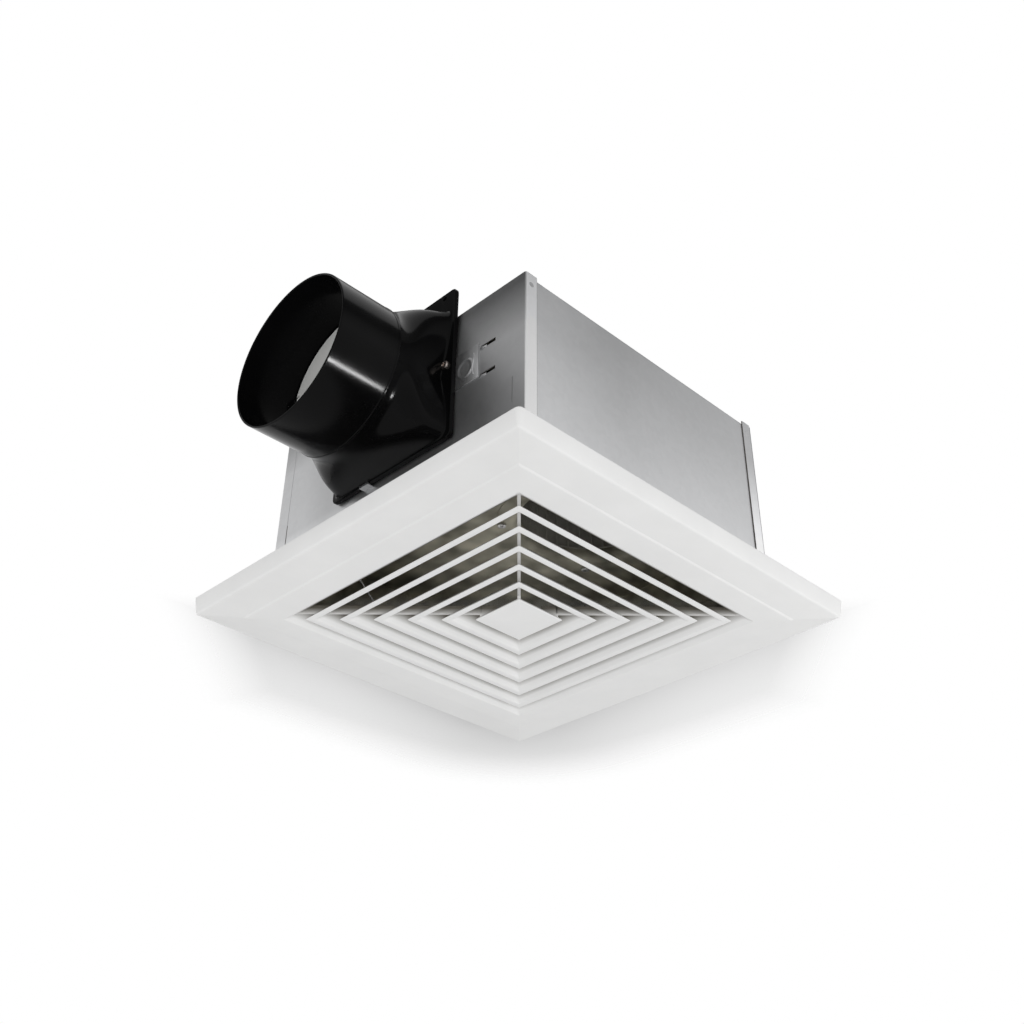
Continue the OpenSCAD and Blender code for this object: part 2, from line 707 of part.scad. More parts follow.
module scroll_band() color("silver") translate([0, 0, scroll_z0]) difference() {
  intersection() {
    linear_extrude(scroll_h) offset(delta = scroll_t) polygon(scroll_outline(-end_in));
    block([-end_in, -side_in, -overrun], [end_in, side_in, scroll_h + overrun]);
  }
  translate([0, 0, -overrun]) linear_extrude(scroll_h + 2 * overrun)
    polygon(scroll_outline(-end_in - overrun));
}

module scroll_top() color("silver") difference() {
  translate([0, 0, scroll_z1]) linear_extrude(scroll_t) polygon(scroll_outline(-end_in));
  for (k = [0 : motor_ears - 1]) translate([wheel_x, wheel_y, scroll_z1 - overrun])
    rotate(360 * k / motor_ears) translate([ear_r, 0, 0])
      cylinder(d = motor_screw_d + 2 * hole_gap, h = scroll_t + 2 * overrun);
  translate([lead_exit[0], lead_exit[1], scroll_z1 - overrun])
    cylinder(d = grommet_d - 2 * grommet_groove + 2 * hole_gap, h = scroll_t + 2 * overrun);
}

// Base plate across the housing, with a flange down each end panel
module scroll_base() color("silver") difference() {
  union() {
    block([-end_in + base_gap, -side_in + base_gap, base_z],
      [end_in - base_gap, side_in - base_gap, base_z + scroll_t]);
    for (side = [-1, 1]) block(
      [side * (end_in - base_gap - scroll_t / 2) - scroll_t / 2, -side_in + bracket_reach,
        base_z - base_flange_h],
      [side * (end_in - base_gap - scroll_t / 2) + scroll_t / 2, side_in - bracket_reach,
        base_z + scroll_t / 2]);
  }
  translate([wheel_x, wheel_y, base_z - overrun]) {
    cylinder(r = base_hole_r, h = scroll_t + 2 * overrun);
    for (k = [0 : inlet_screw_count - 1]) rotate(45 + 360 * k / inlet_screw_count)
      translate([inlet_screw_r, 0, 0])
        cylinder(d = screw_d + 2 * hole_gap, h = scroll_t + 2 * overrun);
  }
  for (side = [-1, 1]) for (v = [-1, 1])
    rod_x([side * end_in - 2 * overrun, v * blower_screw_y, blower_screw_z],
      screw_d + 2 * hole_gap, 4 * overrun);
  translate([cap_pos[0] - clamp_foot / 2, cap_pos[1] + cap_size[1] / 2, base_z - overrun])
    cylinder(d = rivet_d + 2 * hole_gap, h = scroll_t + 2 * overrun);
}

// Bell-mouthed inlet: a flange under the base plate and a lip that turns up into the wheel
module inlet_ring() color("silver") translate([wheel_x, wheel_y, base_z - scroll_t]) {
  difference() {
    cylinder(r = inlet_r + inlet_lip_r + inlet_flange_w, h = scroll_t);
    translate([0, 0, -overrun])
      cylinder(r = inlet_r + inlet_lip_r - scroll_t, h = scroll_t + 2 * overrun);
    for (k = [0 : inlet_screw_count - 1]) rotate(45 + 360 * k / inlet_screw_count)
      translate([inlet_screw_r, 0, -overrun])
        cylinder(d = screw_d + 2 * hole_gap, h = scroll_t + 2 * overrun);
  }
  rotate_extrude() {
    intersection() {
      translate([inlet_r + inlet_lip_r, inlet_lip_r]) difference() {
        circle(inlet_lip_r);
        circle(inlet_lip_r - scroll_t);
      }
      square([inlet_r + inlet_lip_r, inlet_lip_r]);
    }
    translate([inlet_r, inlet_lip_r]) square([scroll_t, inlet_reach]);
  }
}

module inlet_screws() color("gainsboro")
  translate([wheel_x, wheel_y, base_z - scroll_t])
    for (k = [0 : inlet_screw_count - 1]) rotate(45 + 360 * k / inlet_screw_count)
      translate([inlet_screw_r, 0, 0]) pan_screw(2 * scroll_t + screw_tip);

module blower_screws() color("gainsboro") for (side = [-1, 1]) for (v = [-1, 1])
  translate([side * (end_in - base_gap - scroll_t), v * blower_screw_y, blower_screw_z])
    rotate([0, side * 90, 0]) pan_screw(scroll_t + base_gap + sheet_t + screw_tip / 2);

// Motor: two pressed cans round the stator, with a bearing cup in each
module motor_can(h) {
  difference() {
    cylinder(r = case_r, h = h);
    translate([0, 0, -overrun]) cylinder(r = case_r - case_t, h = h - case_t + overrun);
    translate([0, 0, h - case_t - overrun]) cylinder(d = bearing_d, h = case_t + 2 * overrun);
  }
  translate([0, 0, h - bearing_h - bearing_cup_t]) difference() {
    cylinder(d = bearing_d + 2 * bearing_cup_t, h = bearing_h + bearing_cup_t);
    translate([0, 0, -overrun])
      cylinder(d = bearing_d + 2 * running_gap, h = bearing_h + overrun);
    translate([0, 0, -overrun])
      cylinder(d = shaft_d + 2 * shaft_play, h = bearing_h + bearing_cup_t + 2 * overrun);
  }
}

module motor_case_upper() color("silver") translate([wheel_x, wheel_y, motor_mid]) {
  difference() {
    motor_can(motor_h / 2);
    translate([lead_exit[0] - wheel_x, lead_exit[1] - wheel_y, 0])
      cylinder(d = lead_d + 4 * hole_gap, h = motor_h);
  }
  for (k = [0 : motor_ears - 1]) rotate(360 * k / motor_ears) difference() {
    union() {
      translate([ear_r, 0, motor_h / 2 - ear_plate_t]) cylinder(d = ear_d, h = ear_plate_t);
      block([case_r - case_t / 2, -ear_d / 2, motor_h / 2 - ear_plate_t],
        [ear_r, ear_d / 2, motor_h / 2]);
    }
    translate([ear_r, 0, 0]) cylinder(d = bush_hole_d + 2 * hole_gap, h = motor_h);
  }
}

module motor_case_lower() color("silver") translate([wheel_x, wheel_y, motor_mid])
  mirror([0, 0, 1]) motor_can(motor_h / 2);

// Rubber bushes between the motor's ears and the scroll's top
module motor_bushes() color([0.1, 0.1, 0.1]) for (k = [0 : motor_ears - 1])
  translate([wheel_x, wheel_y, motor_top]) rotate(360 * k / motor_ears) translate([ear_r, 0, 0])
    difference() {
      cylinder(d = bush_d, h = bush_h);
      translate([0, 0, -overrun]) cylinder(d = bush_hole_d, h = bush_h + 2 * overrun);
    }

module motor_screws() color("gainsboro") for (k = [0 : motor_ears - 1])
  translate([wheel_x, wheel_y, motor_top - ear_plate_t]) rotate(360 * k / motor_ears)
    translate([ear_r, 0, 0]) pan_screw(ear_plate_t + bush_h + scroll_t + screw_tip / 2);

module stator_core() color("dimgray") translate([wheel_x, wheel_y, motor_mid - core_h / 2])
  difference() {
    cylinder(r = core_r, h = core_h);
    translate([0, 0, -overrun]) cylinder(r = bore_r, h = core_h + 2 * overrun);
    for (k = [0 : slot_count - 1]) rotate(360 * k / slot_count)
      block([bore_r + slot_lip, -slot_w / 2, -overrun],
        [bore_r + slot_lip + slot_depth, slot_w / 2, core_h + overrun]);
  }

module stator_windings() color("peru") translate([wheel_x, wheel_y, motor_mid])
  for (side = [-1, 1]) translate([0, 0, side * (core_h + winding_h) / 2 - winding_h / 2])
    difference() {
      cylinder(r = bore_r + slot_lip + slot_depth, h = winding_h);
      translate([0, 0, -overrun]) cylinder(r = bore_r + slot_lip, h = winding_h + 2 * overrun);
    }

module bearing() difference() {
  cylinder(d = bearing_d, h = bearing_h - running_gap);
  translate([0, 0, -overrun]) cylinder(d = shaft_d + 2 * running_gap, h = bearing_h + 2 * overrun);
}

module upper_bearing() color("silver")
  translate([wheel_x, wheel_y, motor_top - bearing_h - bearing_cup_t]) bearing();

module lower_bearing() color("silver")
  translate([wheel_x, wheel_y, motor_bottom + bearing_cup_t + running_gap]) bearing();

module rotor_core() color("gray") translate([wheel_x, wheel_y, motor_mid - core_h / 2])
  difference() {
    cylinder(r = bore_r - air_gap, h = core_h);
    translate([0, 0, -overrun])
      cylinder(d = shaft_d + 2 * running_gap, h = core_h + 2 * overrun);
  }

module motor_shaft() color("gainsboro") translate([wheel_x, wheel_y, shaft_bottom])
  cylinder(d = shaft_d, h = shaft_top - shaft_bottom);

// Wheel: a back plate dished round the motor, blades and an end ring
module impeller_backplate() color("silver") translate([wheel_x, wheel_y, 0]) difference() {
  rotate_extrude() {
    dish_r = case_r + dish_gap;
    square_top = dish_z + back_t;
    translate([0, dish_z]) square([dish_r, back_t]);
    polygon([[dish_r - back_t, dish_z], [dish_r, dish_z], [blade_in_r - back_t, back_z],
      [blade_in_r - back_t, back_z + back_t], [blade_in_r - 2 * back_t, back_z + back_t],
      [dish_r - back_t, square_top]]);
    translate([blade_in_r - 2 * back_t, back_z])
      square([wheel_r - blade_in_r + 2 * back_t, back_t]);
    translate([0, dish_z - hub_h]) square([hub_d / 2, hub_h]);
  }
  translate([0, 0, dish_z - hub_h - overrun])
    cylinder(d = shaft_d + 2 * running_gap, h = hub_h + back_t + 2 * overrun);
}

// Forward-curved blade: a thin arc from the wheel's inside to its outside
function blade_point(s, side) = let (
  r = blade_in_r + seat_gap + s * (blade_depth - 2 * seat_gap),
  a = blade_lead * s * s + side * blade_t / 2 / r * 180 / PI
) [r * cos(a), r * sin(a)];
blade_lead = blade_sweep * blade_depth / wheel_r;
blade_shape = concat(
  [for (k = [0 : blade_arc_steps]) blade_point(k / blade_arc_steps, -1)],
  [for (k = [blade_arc_steps : -1 : 0]) blade_point(k / blade_arc_steps, 1)]);

module impeller_blades() color("silver") translate([wheel_x, wheel_y, blade_z])
  for (k = [0 : blade_count - 1]) rotate(360 * k / blade_count)
    linear_extrude(blade_h) polygon(blade_shape);

module impeller_ring() color("silver") translate([wheel_x, wheel_y, ring_z]) difference() {
  cylinder(r = wheel_r, h = ring_t);
  translate([0, 0, -overrun]) cylinder(r = blade_in_r, h = ring_t + 2 * overrun);
}

module hub_nut() color("gainsboro") translate([wheel_x, wheel_y, dish_z - hub_h - nut_h])
  difference() {
    cylinder(d = nut_d, h = nut_h, $fn = 6);
    translate([0, 0, -overrun]) cylinder(d = shaft_d + 2 * running_gap, h = nut_h + 2 * overrun);
  }

module capacitor() color("white") translate(cap_pos) {
  r = cap_corner_r;
  linear_extrude(cap_size[2]) {
    translate([r, 0]) square([cap_size[0] - 2 * r, cap_size[1]]);
    translate([0, r]) square([cap_size[0], cap_size[1] - 2 * r]);
    for (x = [r, cap_size[0] - r]) for (y = [r, cap_size[1] - r]) translate([x, y]) circle(r);
  }
}

// Strap over the capacitor, with a foot riveted to the base plate
module capacitor_clamp() color("silver") translate(cap_pos) {
  y0 = (cap_size[1] - clamp_w) / 2;
  difference() {
    block([-clamp_foot, y0, 0], [0, y0 + clamp_w, clamp_t]);
    translate([-clamp_foot / 2, cap_size[1] / 2, -overrun])
      cylinder(d = rivet_d + 2 * hole_gap, h = clamp_t + 2 * overrun);
  }
  block([-clamp_t, y0, 0], [0, y0 + clamp_w, cap_size[2] + clamp_t]);
  block([-clamp_t, y0, cap_size[2]], [cap_size[0] + clamp_t, y0 + clamp_w, cap_size[2] + clamp_t]);
  block([cap_size[0], y0, cap_size[2] * 0.6],
    [cap_size[0] + clamp_t, y0 + clamp_w, cap_size[2] + clamp_t]);
  translate([-clamp_foot / 2, cap_size[1] / 2, clamp_t]) mirror([0, 0, 1]) rivet(clamp_t + scroll_t);
}

// Lead: a tube swept along its route, with a ring of points square to each step
lead_steps = [
  [0, 0, -4.7], [0, 0, 0], [0, 0, 2.6], [-1, -0.3, 3.9], [-5, -1.7, 4.4], [-20, -6, 4.4],
  [-40, -13, 4.4], [-58, -22, 4.2]
];
lead_ends = [
  [23.7, 18, 14.3], [13.7, 8, 8.8], [6.7, 2, 3.8], [4.5, 0, 0], [-9, 0, 0]
];
lead_route = concat(
  [for (step = lead_steps) [lead_exit[0], lead_exit[1], scroll_z1] + step],
  [for (step = lead_ends) [box_depth - end_in, lead_entry_y, lead_entry_z] + step]);
function unit(v) = v / norm(v);
function lead_dir(i) = let (n = len(lead_route) - 1)
  unit(lead_route[min(i + 1, n)] - lead_route[max(i - 1, 0)]);
function lead_side(i) = let (d = lead_dir(i)) unit(cross(d, [0.25, 1, 0.1]));
lead_points = [for (i = [0 : len(lead_route) - 1]) for (j = [0 : lead_sides - 1]) let (
  u = lead_side(i),
  v = cross(lead_dir(i), u),
  a = 360 * j / lead_sides
) lead_route[i] + lead_d / 2 * (cos(a) * u + sin(a) * v)];
lead_faces = concat(
  [[for (j = [0 : lead_sides - 1]) j]],
  [for (i = [0 : len(lead_route) - 2]) for (j = [0 : lead_sides - 1]) for (half = [0, 1]) let (
    a = i * lead_sides + j,
    b = i * lead_sides + (j + 1) % lead_sides
  ) half == 0 ? [a, a + lead_sides, b + lead_sides] : [a, b + lead_sides, b]],
  [[for (j = [lead_sides - 1 : -1 : 0]) (len(lead_route) - 1) * lead_sides + j]]);

module motor_lead() color([0.15, 0.15, 0.15]) polyhedron(points = lead_points, faces = lead_faces);

// Rubber grommet along +Z, whose groove holds a sheet of thickness t at zero
module grommet(t) difference() {
  union() {
    translate([0, 0, -grommet_groove]) cylinder(d = grommet_d, h = grommet_groove);
    cylinder(d = grommet_d - 2 * grommet_groove, h = t);
    translate([0, 0, t]) cylinder(d = grommet_d, h = grommet_groove);
  }
  translate([0, 0, -2 * grommet_groove]) cylinder(d = grommet_bore, h = t + 4 * grommet_groove);
}

module lead_grommets() color([0.1, 0.1, 0.1]) {
  translate([lead_exit[0], lead_exit[1], scroll_z1]) grommet(scroll_t);
  translate([box_depth - end_in - sheet_t, lead_entry_y, lead_entry_z]) rotate([0, 90, 0])
    grommet(sheet_t);
}

// Square ring with true mitres. Its section is a list of [half size, height], from the
// outer lower edge inwards and back over the top.
module mitred_ring(section) {
  signs = [[-1, -1], [1, -1], [1, 1], [-1, 1]];
  last = len(section) - 1;
  polyhedron(
    points = [for (p = section) for (s = signs) [s[0] * p[0], s[1] * p[0], p[1]]],
    faces = [for (k = [0 : last]) for (c = [0 : 3]) let (
      d = (c + 1) % 4,
      m = k == last ? 0 : 4 * k + 4
    ) [4 * k + c, 4 * k + d, m + d, m + c]]);
}

// Grille frame: the rim's wall, two sloping bands with a step between them and the inner lip
step_z = -rim_h - face_drop * step_share;
step_low = step_half - step_bevel;
rim_in = rim_low_half - grille_wall;
lip_half = open_half - louvre_t / 2;
lip_z = face_z + louvre_rise * lip_share;
module grille_frame() color("whitesmoke") {
  mitred_ring([
    [rim_low_half, -rim_h], [step_half, step_z], [step_low, step_z - step_h],
    [open_half, face_z], [lip_half, face_z], [lip_half, lip_z], [open_half, lip_z],
    [open_half, face_z + grille_wall], [step_low, step_z - step_h + grille_wall],
    [step_half, step_z + grille_wall], [rim_in, grille_wall - rim_h], [rim_in, 0],
    [rim_top_half, 0]]);
  for (side = [0, 180]) rotate(side) spring_ear();
}

// Ear with a peg that carries a spring's coil, standing on the frame's back
module spring_ear() {
  ear_y = -spring_y - coil_len / 2 - seat_gap;
  block([-peg_head_d / 2, ear_y - ear_t, face_z + grille_wall / 2],
    [peg_head_d / 2, ear_y, spring_z]);
  rod_y([0, ear_y - ear_t, spring_z], peg_head_d, ear_t);
  rod_y([0, ear_y - ear_t / 2, spring_z], peg_d, ear_t / 2 + coil_len + 2 * seat_gap);
  rod_y([0, coil_len / 2 + seat_gap - spring_y, spring_z], peg_tip_d, peg_head_t);
}

// One slanted louvre ring: its lower edge is the outer one
function louvre_half(k) = cap_w / 2 + k * louvre_pitch;
module louvre(half) mitred_ring([
  [half, face_z], [half - louvre_t, face_z],
  [half - louvre_t - louvre_rise, rib_top], [half - louvre_rise, rib_top]]);

// Slit along both diagonals, where the ribs pass
module rib_slots(t) for (a = [45, 135]) rotate(a)
  block([-grille_w, -t / 2, face_z - overrun], [grille_w, t / 2, louvre_rise]);

module grille_louvres() color("whitesmoke") difference() {
  for (k = [1 : louvre_count]) louvre(louvre_half(k));
  rib_slots(rib_t);
}

module grille_cap() color("whitesmoke") {
  half = cap_w / 2;
  corners = [for (s = [[-1, -1], [1, -1], [1, 1], [-1, 1]]) s * half];
  points = concat([for (c = corners) [c[0], c[1], face_z]],
    [for (c = corners) [c[0] - sign(c[0]) * louvre_t, c[1] - sign(c[1]) * louvre_t,
      face_z + louvre_t]],
    [[0, 0, face_z - cap_dome], [0, 0, face_z + louvre_t]]);
  faces = [for (c = [0 : 3]) for (part = [0 : 2]) let (d = (c + 1) % 4)
    part == 0 ? [c, d, 8] : part == 1 ? [c, 4 + c, 4 + d, d] : [4 + c, 9, 4 + d]];
  polyhedron(points = points, faces = faces);
}

// Diagonal ribs: from above the cap to the frame's inner lip, level with the louvres' tops
module grille_ribs() color("whitesmoke") {
  reach = lip_half * sqrt(2) - rib_t / 2;
  cap_top = face_z + louvre_t;
  for (a = [45 : 90 : 315]) rotate(a) {
    block([cap_w * rib_start_share, -rib_t / 2, cap_top], [reach, rib_t / 2, rib_top]);
    block([cap_w / 2 * sqrt(2) + seat_gap, -rib_t / 2, face_z + rib_lift],
      [reach, rib_t / 2, rib_top]);
  }
}

module spring_coil() {
  translate([0, -spring_y, spring_z]) rotate([-90, 0, 0])
    translate([0, 0, wire_d - coil_len / 2]) difference() {
      cylinder(r = coil_r + wire_d / 2, h = coil_len - 2 * wire_d);
      translate([0, 0, -overrun]) cylinder(r = coil_r - wire_d / 2, h = coil_len);
    }
}
module front_spring_coil() color("silver") spring_coil();
module rear_spring_coil() color("silver") rotate(180) spring_coil();

// Spring leg with the end turn of its coil; side is -1 for left and 1 for right
module spring_leg(side) translate([0, -spring_y - side * leg_offset, spring_z]) {
  rotate([-90, 0, 0]) translate([0, 0, -wire_d / 2]) difference() {
    cylinder(r = coil_r + wire_d / 2, h = wire_d);
    translate([0, 0, -overrun])
      cylinder(r = coil_r - wire_d / 2, h = wire_d + 2 * overrun);
  }
  rotate([0, side * leg_angle, 0]) translate([-side * coil_r, 0, 0]) {
    cylinder(d = wire_d, h = leg_len);
    translate([0, 0, leg_len]) sphere(d = wire_d);
    translate([0, 0, leg_len]) rotate([0, side * leg_angle, 0]) cylinder(d = wire_d, h = leg_hook);
  }
}
module front_spring_left_leg() color("silver") spring_leg(-1);
module front_spring_right_leg() color("silver") spring_leg(1);
module rear_spring_left_leg() color("silver") rotate(180) spring_leg(-1);
module rear_spring_right_leg() color("silver") rotate(180) spring_leg(1);

housing_wrap();
outlet_panel();
rear_panel();
mounting_frame();
frame_rivets();
spring_brackets();
junction_box();
wiring_cover();
terminal_block();
terminal_screws();
cable_bushing();
duct_adapter();
adapter_gasket();
adapter_screws();
damper_flap();
damper_pin();
scroll_band();
scroll_top();
scroll_base();
inlet_ring();
inlet_screws();
blower_screws();
motor_case_upper();
motor_case_lower();
motor_bushes();
motor_screws();
stator_core();
stator_windings();
upper_bearing();
lower_bearing();
capacitor();
capacitor_clamp();
motor_lead();
lead_grommets();
rotor_core();
motor_shaft();
impeller_backplate();
impeller_blades();
impeller_ring();
hub_nut();
grille_frame();
grille_louvres();
grille_cap();
grille_ribs();
front_spring_coil();
rear_spring_coil();
front_spring_left_leg();
front_spring_right_leg();
rear_spring_left_leg();
rear_spring_right_leg();
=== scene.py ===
import json
from math import acos, atan2, copysign, cos, degrees, pi, radians, sin, sqrt, tan
import bmesh
import bpy
import numpy as np
from mathutils import Matrix, Vector


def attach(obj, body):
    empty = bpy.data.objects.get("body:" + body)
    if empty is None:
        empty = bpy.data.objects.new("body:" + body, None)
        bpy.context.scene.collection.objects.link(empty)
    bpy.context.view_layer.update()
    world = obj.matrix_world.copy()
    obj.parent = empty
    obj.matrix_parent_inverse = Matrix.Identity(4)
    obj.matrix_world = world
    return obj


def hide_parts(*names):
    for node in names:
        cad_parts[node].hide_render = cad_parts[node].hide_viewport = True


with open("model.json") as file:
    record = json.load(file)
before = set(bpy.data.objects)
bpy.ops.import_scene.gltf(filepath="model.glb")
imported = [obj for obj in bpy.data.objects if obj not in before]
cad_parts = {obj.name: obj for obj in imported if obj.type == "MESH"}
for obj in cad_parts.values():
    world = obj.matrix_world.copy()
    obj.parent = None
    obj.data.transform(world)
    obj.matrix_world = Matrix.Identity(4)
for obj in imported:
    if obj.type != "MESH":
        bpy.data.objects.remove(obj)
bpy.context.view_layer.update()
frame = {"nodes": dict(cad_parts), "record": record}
nodes = frame["nodes"]
mm = 0.001
signs = (-1, 1)
signPairs = [(p, q) for p in signs for q in signs]
print("frame loaded")


# mesh helpers: every piece is written in millimetres and stored in metres
def finishMesh(obj, angle):
    mesh = obj.data
    work = bmesh.new()
    work.from_mesh(mesh)
    bmesh.ops.remove_doubles(work, verts=work.verts, dist=0.002 * mm)
    bmesh.ops.dissolve_degenerate(work, edges=work.edges, dist=0.001 * mm)
    bmesh.ops.recalc_face_normals(work, faces=work.faces)
    work.to_mesh(mesh)
    work.free()
    mesh.shade_smooth()
    mesh.set_sharp_from_angle(angle=radians(angle))
    return obj


def addObject(name, data):
    obj = bpy.data.objects.new(name, data)
    bpy.context.scene.collection.objects.link(obj)
    return obj


def makeObject(name, verts, faces, angle=32.0):
    mesh = bpy.data.meshes.new(name)
    mesh.from_pydata([tuple(float(c) * mm for c in v) for v in verts], [], faces)
    return finishMesh(addObject(name, mesh), angle)


# Skin through loops of points: closed joins the last loop to the first, wrap closes each loop
def joinLoops(loops, closed=True, caps=False, wrap=True):
    count = len(loops[0])
    verts = [p for loop in loops for p in loop]
    faces = []
    for k in range(len(loops) if closed else len(loops) - 1):
        a, b = k * count, ((k + 1) % len(loops)) * count
        for j in range(count if wrap else count - 1):
            n = (j + 1) % count
            faces.append((a + j, a + n, b + n, b + j))
    if caps:
        faces.append(tuple(range(count)))
        faces.append(tuple((len(loops) - 1) * count + j for j in range(count)))
    return verts, faces


def capped(loops):
    return joinLoops(loops, closed=False, caps=True)


def gather(parts):
    verts, faces = [], []
    for more, links in parts:
        faces += [tuple(i + len(verts) for i in link) for link in links]
        verts += more
    return verts, faces


def polar(r, turn, x=0.0, y=0.0):
    return x + r * cos(turn), y + r * sin(turn)


def spun(x, y, turn):
    return x * cos(turn) - y * sin(turn), x * sin(turn) + y * cos(turn)


# Corner points of a section become arcs of the given radii
def filletPath(points, radii, steps=4):
    made = []
    count = len(points)
    for i in range(count):
        p, a, b = (np.array(points[k % count], float) for k in (i, i - 1, i + 1))
        u, v = a - p, b - p
        lu, lv = np.linalg.norm(u), np.linalg.norm(v)
        u, v = u / lu, v / lv
        bend = acos(max(-1.0, min(1.0, float(u @ v))))
        if radii[i] <= 0 or bend > pi - 0.02:
            made.append(tuple(p))
            continue
        reach = min(radii[i] / tan(bend / 2), 0.49 * lu, 0.49 * lv)
        radius = reach * tan(bend / 2)
        centre = p + (u + v) / np.linalg.norm(u + v) * radius / sin(bend / 2)
        start, end = p + u * reach - centre, p + v * reach - centre
        span = pi - bend
        for k in range(steps + 1):
            t = k / steps
            made.append(tuple(centre + (sin((1 - t) * span) * start + sin(t * span) * end) / sin(span)))
    return made


# Square loop with rounded corners and a support point beside each arc
def squareLoop(half, z, corner, steps=5, support=1.2):
    corner = max(corner, 0.25)
    flat = half - corner
    plan = [polar(corner, radians(90 * s / steps), flat, flat) for s in range(steps + 1)]
    plan = [(half, flat - support)] + plan + [(flat - support, half)]
    return [(*spun(x, y, radians(90 * k)), z) for k in range(4) for x, y in plan]


def ringLoop(r, z, steps=24, x=0.0, y=0.0):
    return [(*polar(r, 2 * pi * k / steps, x, y), z) for k in range(steps)]


# Section of (radius, height) points turned about an axis through a centre
def turned(profile, centre, axis="z", steps=64, closed=True):
    loops = []
    for k in range(steps):
        loop = []
        for r, h in profile:
            u, v = polar(r, 2 * pi * k / steps)
            local = {"z": (u, v, h), "x": (h, u, v), "y": (v, h, u)}[axis]
            loop.append(tuple(c + d for c, d in zip(centre, local)))
        loops.append(loop)
    return joinLoops(loops, wrap=closed)


# Round wire or tube along a path, with domed ends
def swept(path, radius, sides=12):
    points = [Vector(p) for p in path]
    last = len(points) - 1
    domes = {0: [(-0.9, 0.4), (-0.6, 0.8), (0, 1)], last: [(0, 1), (0.6, 0.8), (0.9, 0.4)]}
    side = (points[1] - points[0]).normalized().orthogonal().normalized()
    loops = []
    for i, point in enumerate(points):
        along = (points[min(i + 1, last)] - points[max(i - 1, 0)]).normalized()
        side = (side - along * side.dot(along)).normalized()
        other = along.cross(side)
        for out, share in domes.get(i, [(0, 1)]):
            ring = [side * cos(a) + other * sin(a) for a in (2 * pi * j / sides for j in range(sides))]
            loops.append([tuple(point + along * radius * out + radius * share * spoke) for spoke in ring])
    return capped(loops)


# Box with all its edges rounded, turned about Z when an angle is given
def roundBox(low, high, radius, segments=2, turn=0.0):
    work = bmesh.new()
    bmesh.ops.create_cube(work, size=1.0)
    size = [b - a for a, b in zip(low, high)]
    middle = [(a + b) / 2 for a, b in zip(low, high)]
    for vert in work.verts:
        vert.co = Vector([c * s for c, s in zip(vert.co, size)])
    limit = min(radius, 0.45 * min(size))
    bmesh.ops.bevel(work, geom=list(work.edges), offset=limit, segments=segments, profile=0.5, affect="EDGES")
    work.verts.index_update()
    verts = []
    for vert in work.verts:
        x, y, z = (a + b for a, b in zip(vert.co, middle))
        verts.append((*spun(x, y, turn), z))
    faces = [tuple(v.index for v in face.verts) for face in work.faces]
    work.free()
    return verts, faces


# Rounded path through route points
def smoothed(points, rounds=2):
    for _ in range(rounds):
        finer = [points[0]]
        for a, b in zip(points, points[1:]):
            for share in (0.2, 0.8):
                finer.append(tuple((1 - share) * p + share * q for p, q in zip(a, b)))
        points = finer + [points[-1]]
    return points


def applyModifiers(obj):
    bpy.context.view_layer.update()
    seen = obj.evaluated_get(bpy.context.evaluated_depsgraph_get())
    mesh = bpy.data.meshes.new_from_object(seen)
    obj.modifiers.clear()
    old, obj.data = obj.data, mesh
    bpy.data.meshes.remove(old)
    return obj


def cutAway(obj, shape, angle):
    tool = makeObject("cutter", *shape)
    knife = obj.modifiers.new("cut", "BOOLEAN")
    knife.operation, knife.solver, knife.object = "DIFFERENCE", "EXACT", tool
    applyModifiers(obj)
    bpy.data.objects.remove(tool)
    return finishMesh(obj, angle)


# node helpers: an input takes a number, a colour or the socket that feeds it
def feed(tree, target, value):
    if isinstance(value, bpy.types.NodeSocket):
        tree.links.new(value, target)
    else:
        target.default_value = value


def node(tree, kind, *values, **settings):
    made = tree.nodes.new(kind)
    for key, value in settings.items():
        if key in made.inputs:
            feed(tree, made.inputs[key], value)
        else:
            setattr(made, key, value)
    for target, value in zip(made.inputs, values):
        feed(tree, target, value)
    return made


def coordinates(tree, scale=(1, 1, 1)):
    source = node(tree, "ShaderNodeTexCoord").outputs["Object"]
    return node(tree, "ShaderNodeMapping", Vector=source, Scale=scale).outputs["Vector"]


def splitAxes(tree, vector):
    return node(tree, "ShaderNodeSeparateXYZ", vector).outputs


def noise(tree, vector, scale, detail=3.0, roughness=0.5, output="Fac"):
    made = node(tree, "ShaderNodeTexNoise", Vector=vector, Scale=scale, Detail=detail, Roughness=roughness)
    return made.outputs[output]


def spread(tree, value, low, high, fromLow=0.3, fromHigh=0.7, curve="LINEAR"):
    made = node(tree, "ShaderNodeMapRange", value, fromLow, fromHigh, low, high, interpolation_type=curve)
    return made.outputs["Result"]


# A soft step between two places, given in millimetres
def smoothStep(tree, value, low, high, start, end):
    return spread(tree, value, low, high, start * mm, end * mm, "SMOOTHSTEP")


def blendColor(tree, value, dark, light):
    made = node(tree, "ShaderNodeMix", value, data_type="RGBA")
    for k, color in ((6, dark), (7, light)):
        feed(tree, made.inputs[k], (*color, 1) if isinstance(color, tuple) else color)
    return made.outputs[2]


def math2(tree, operation, first, second=0.0):
    return node(tree, "ShaderNodeMath", first, second, operation=operation).outputs[0]


def setShader(tree, bsdf, color, roughness, height, strength, distance):
    dent = node(tree, "ShaderNodeBump", Strength=strength, Distance=distance, Height=height)
    for key, value in (("Base Color", color), ("Roughness", roughness), ("Normal", dent.outputs["Normal"])):
        feed(tree, bsdf.inputs[key], value)


# material helpers: each builds on one Principled shader in Object coordinates
def shader(name):
    material = bpy.data.materials.new(name)
    material.use_nodes = True
    return material, material.node_tree, material.node_tree.nodes["Principled BSDF"]


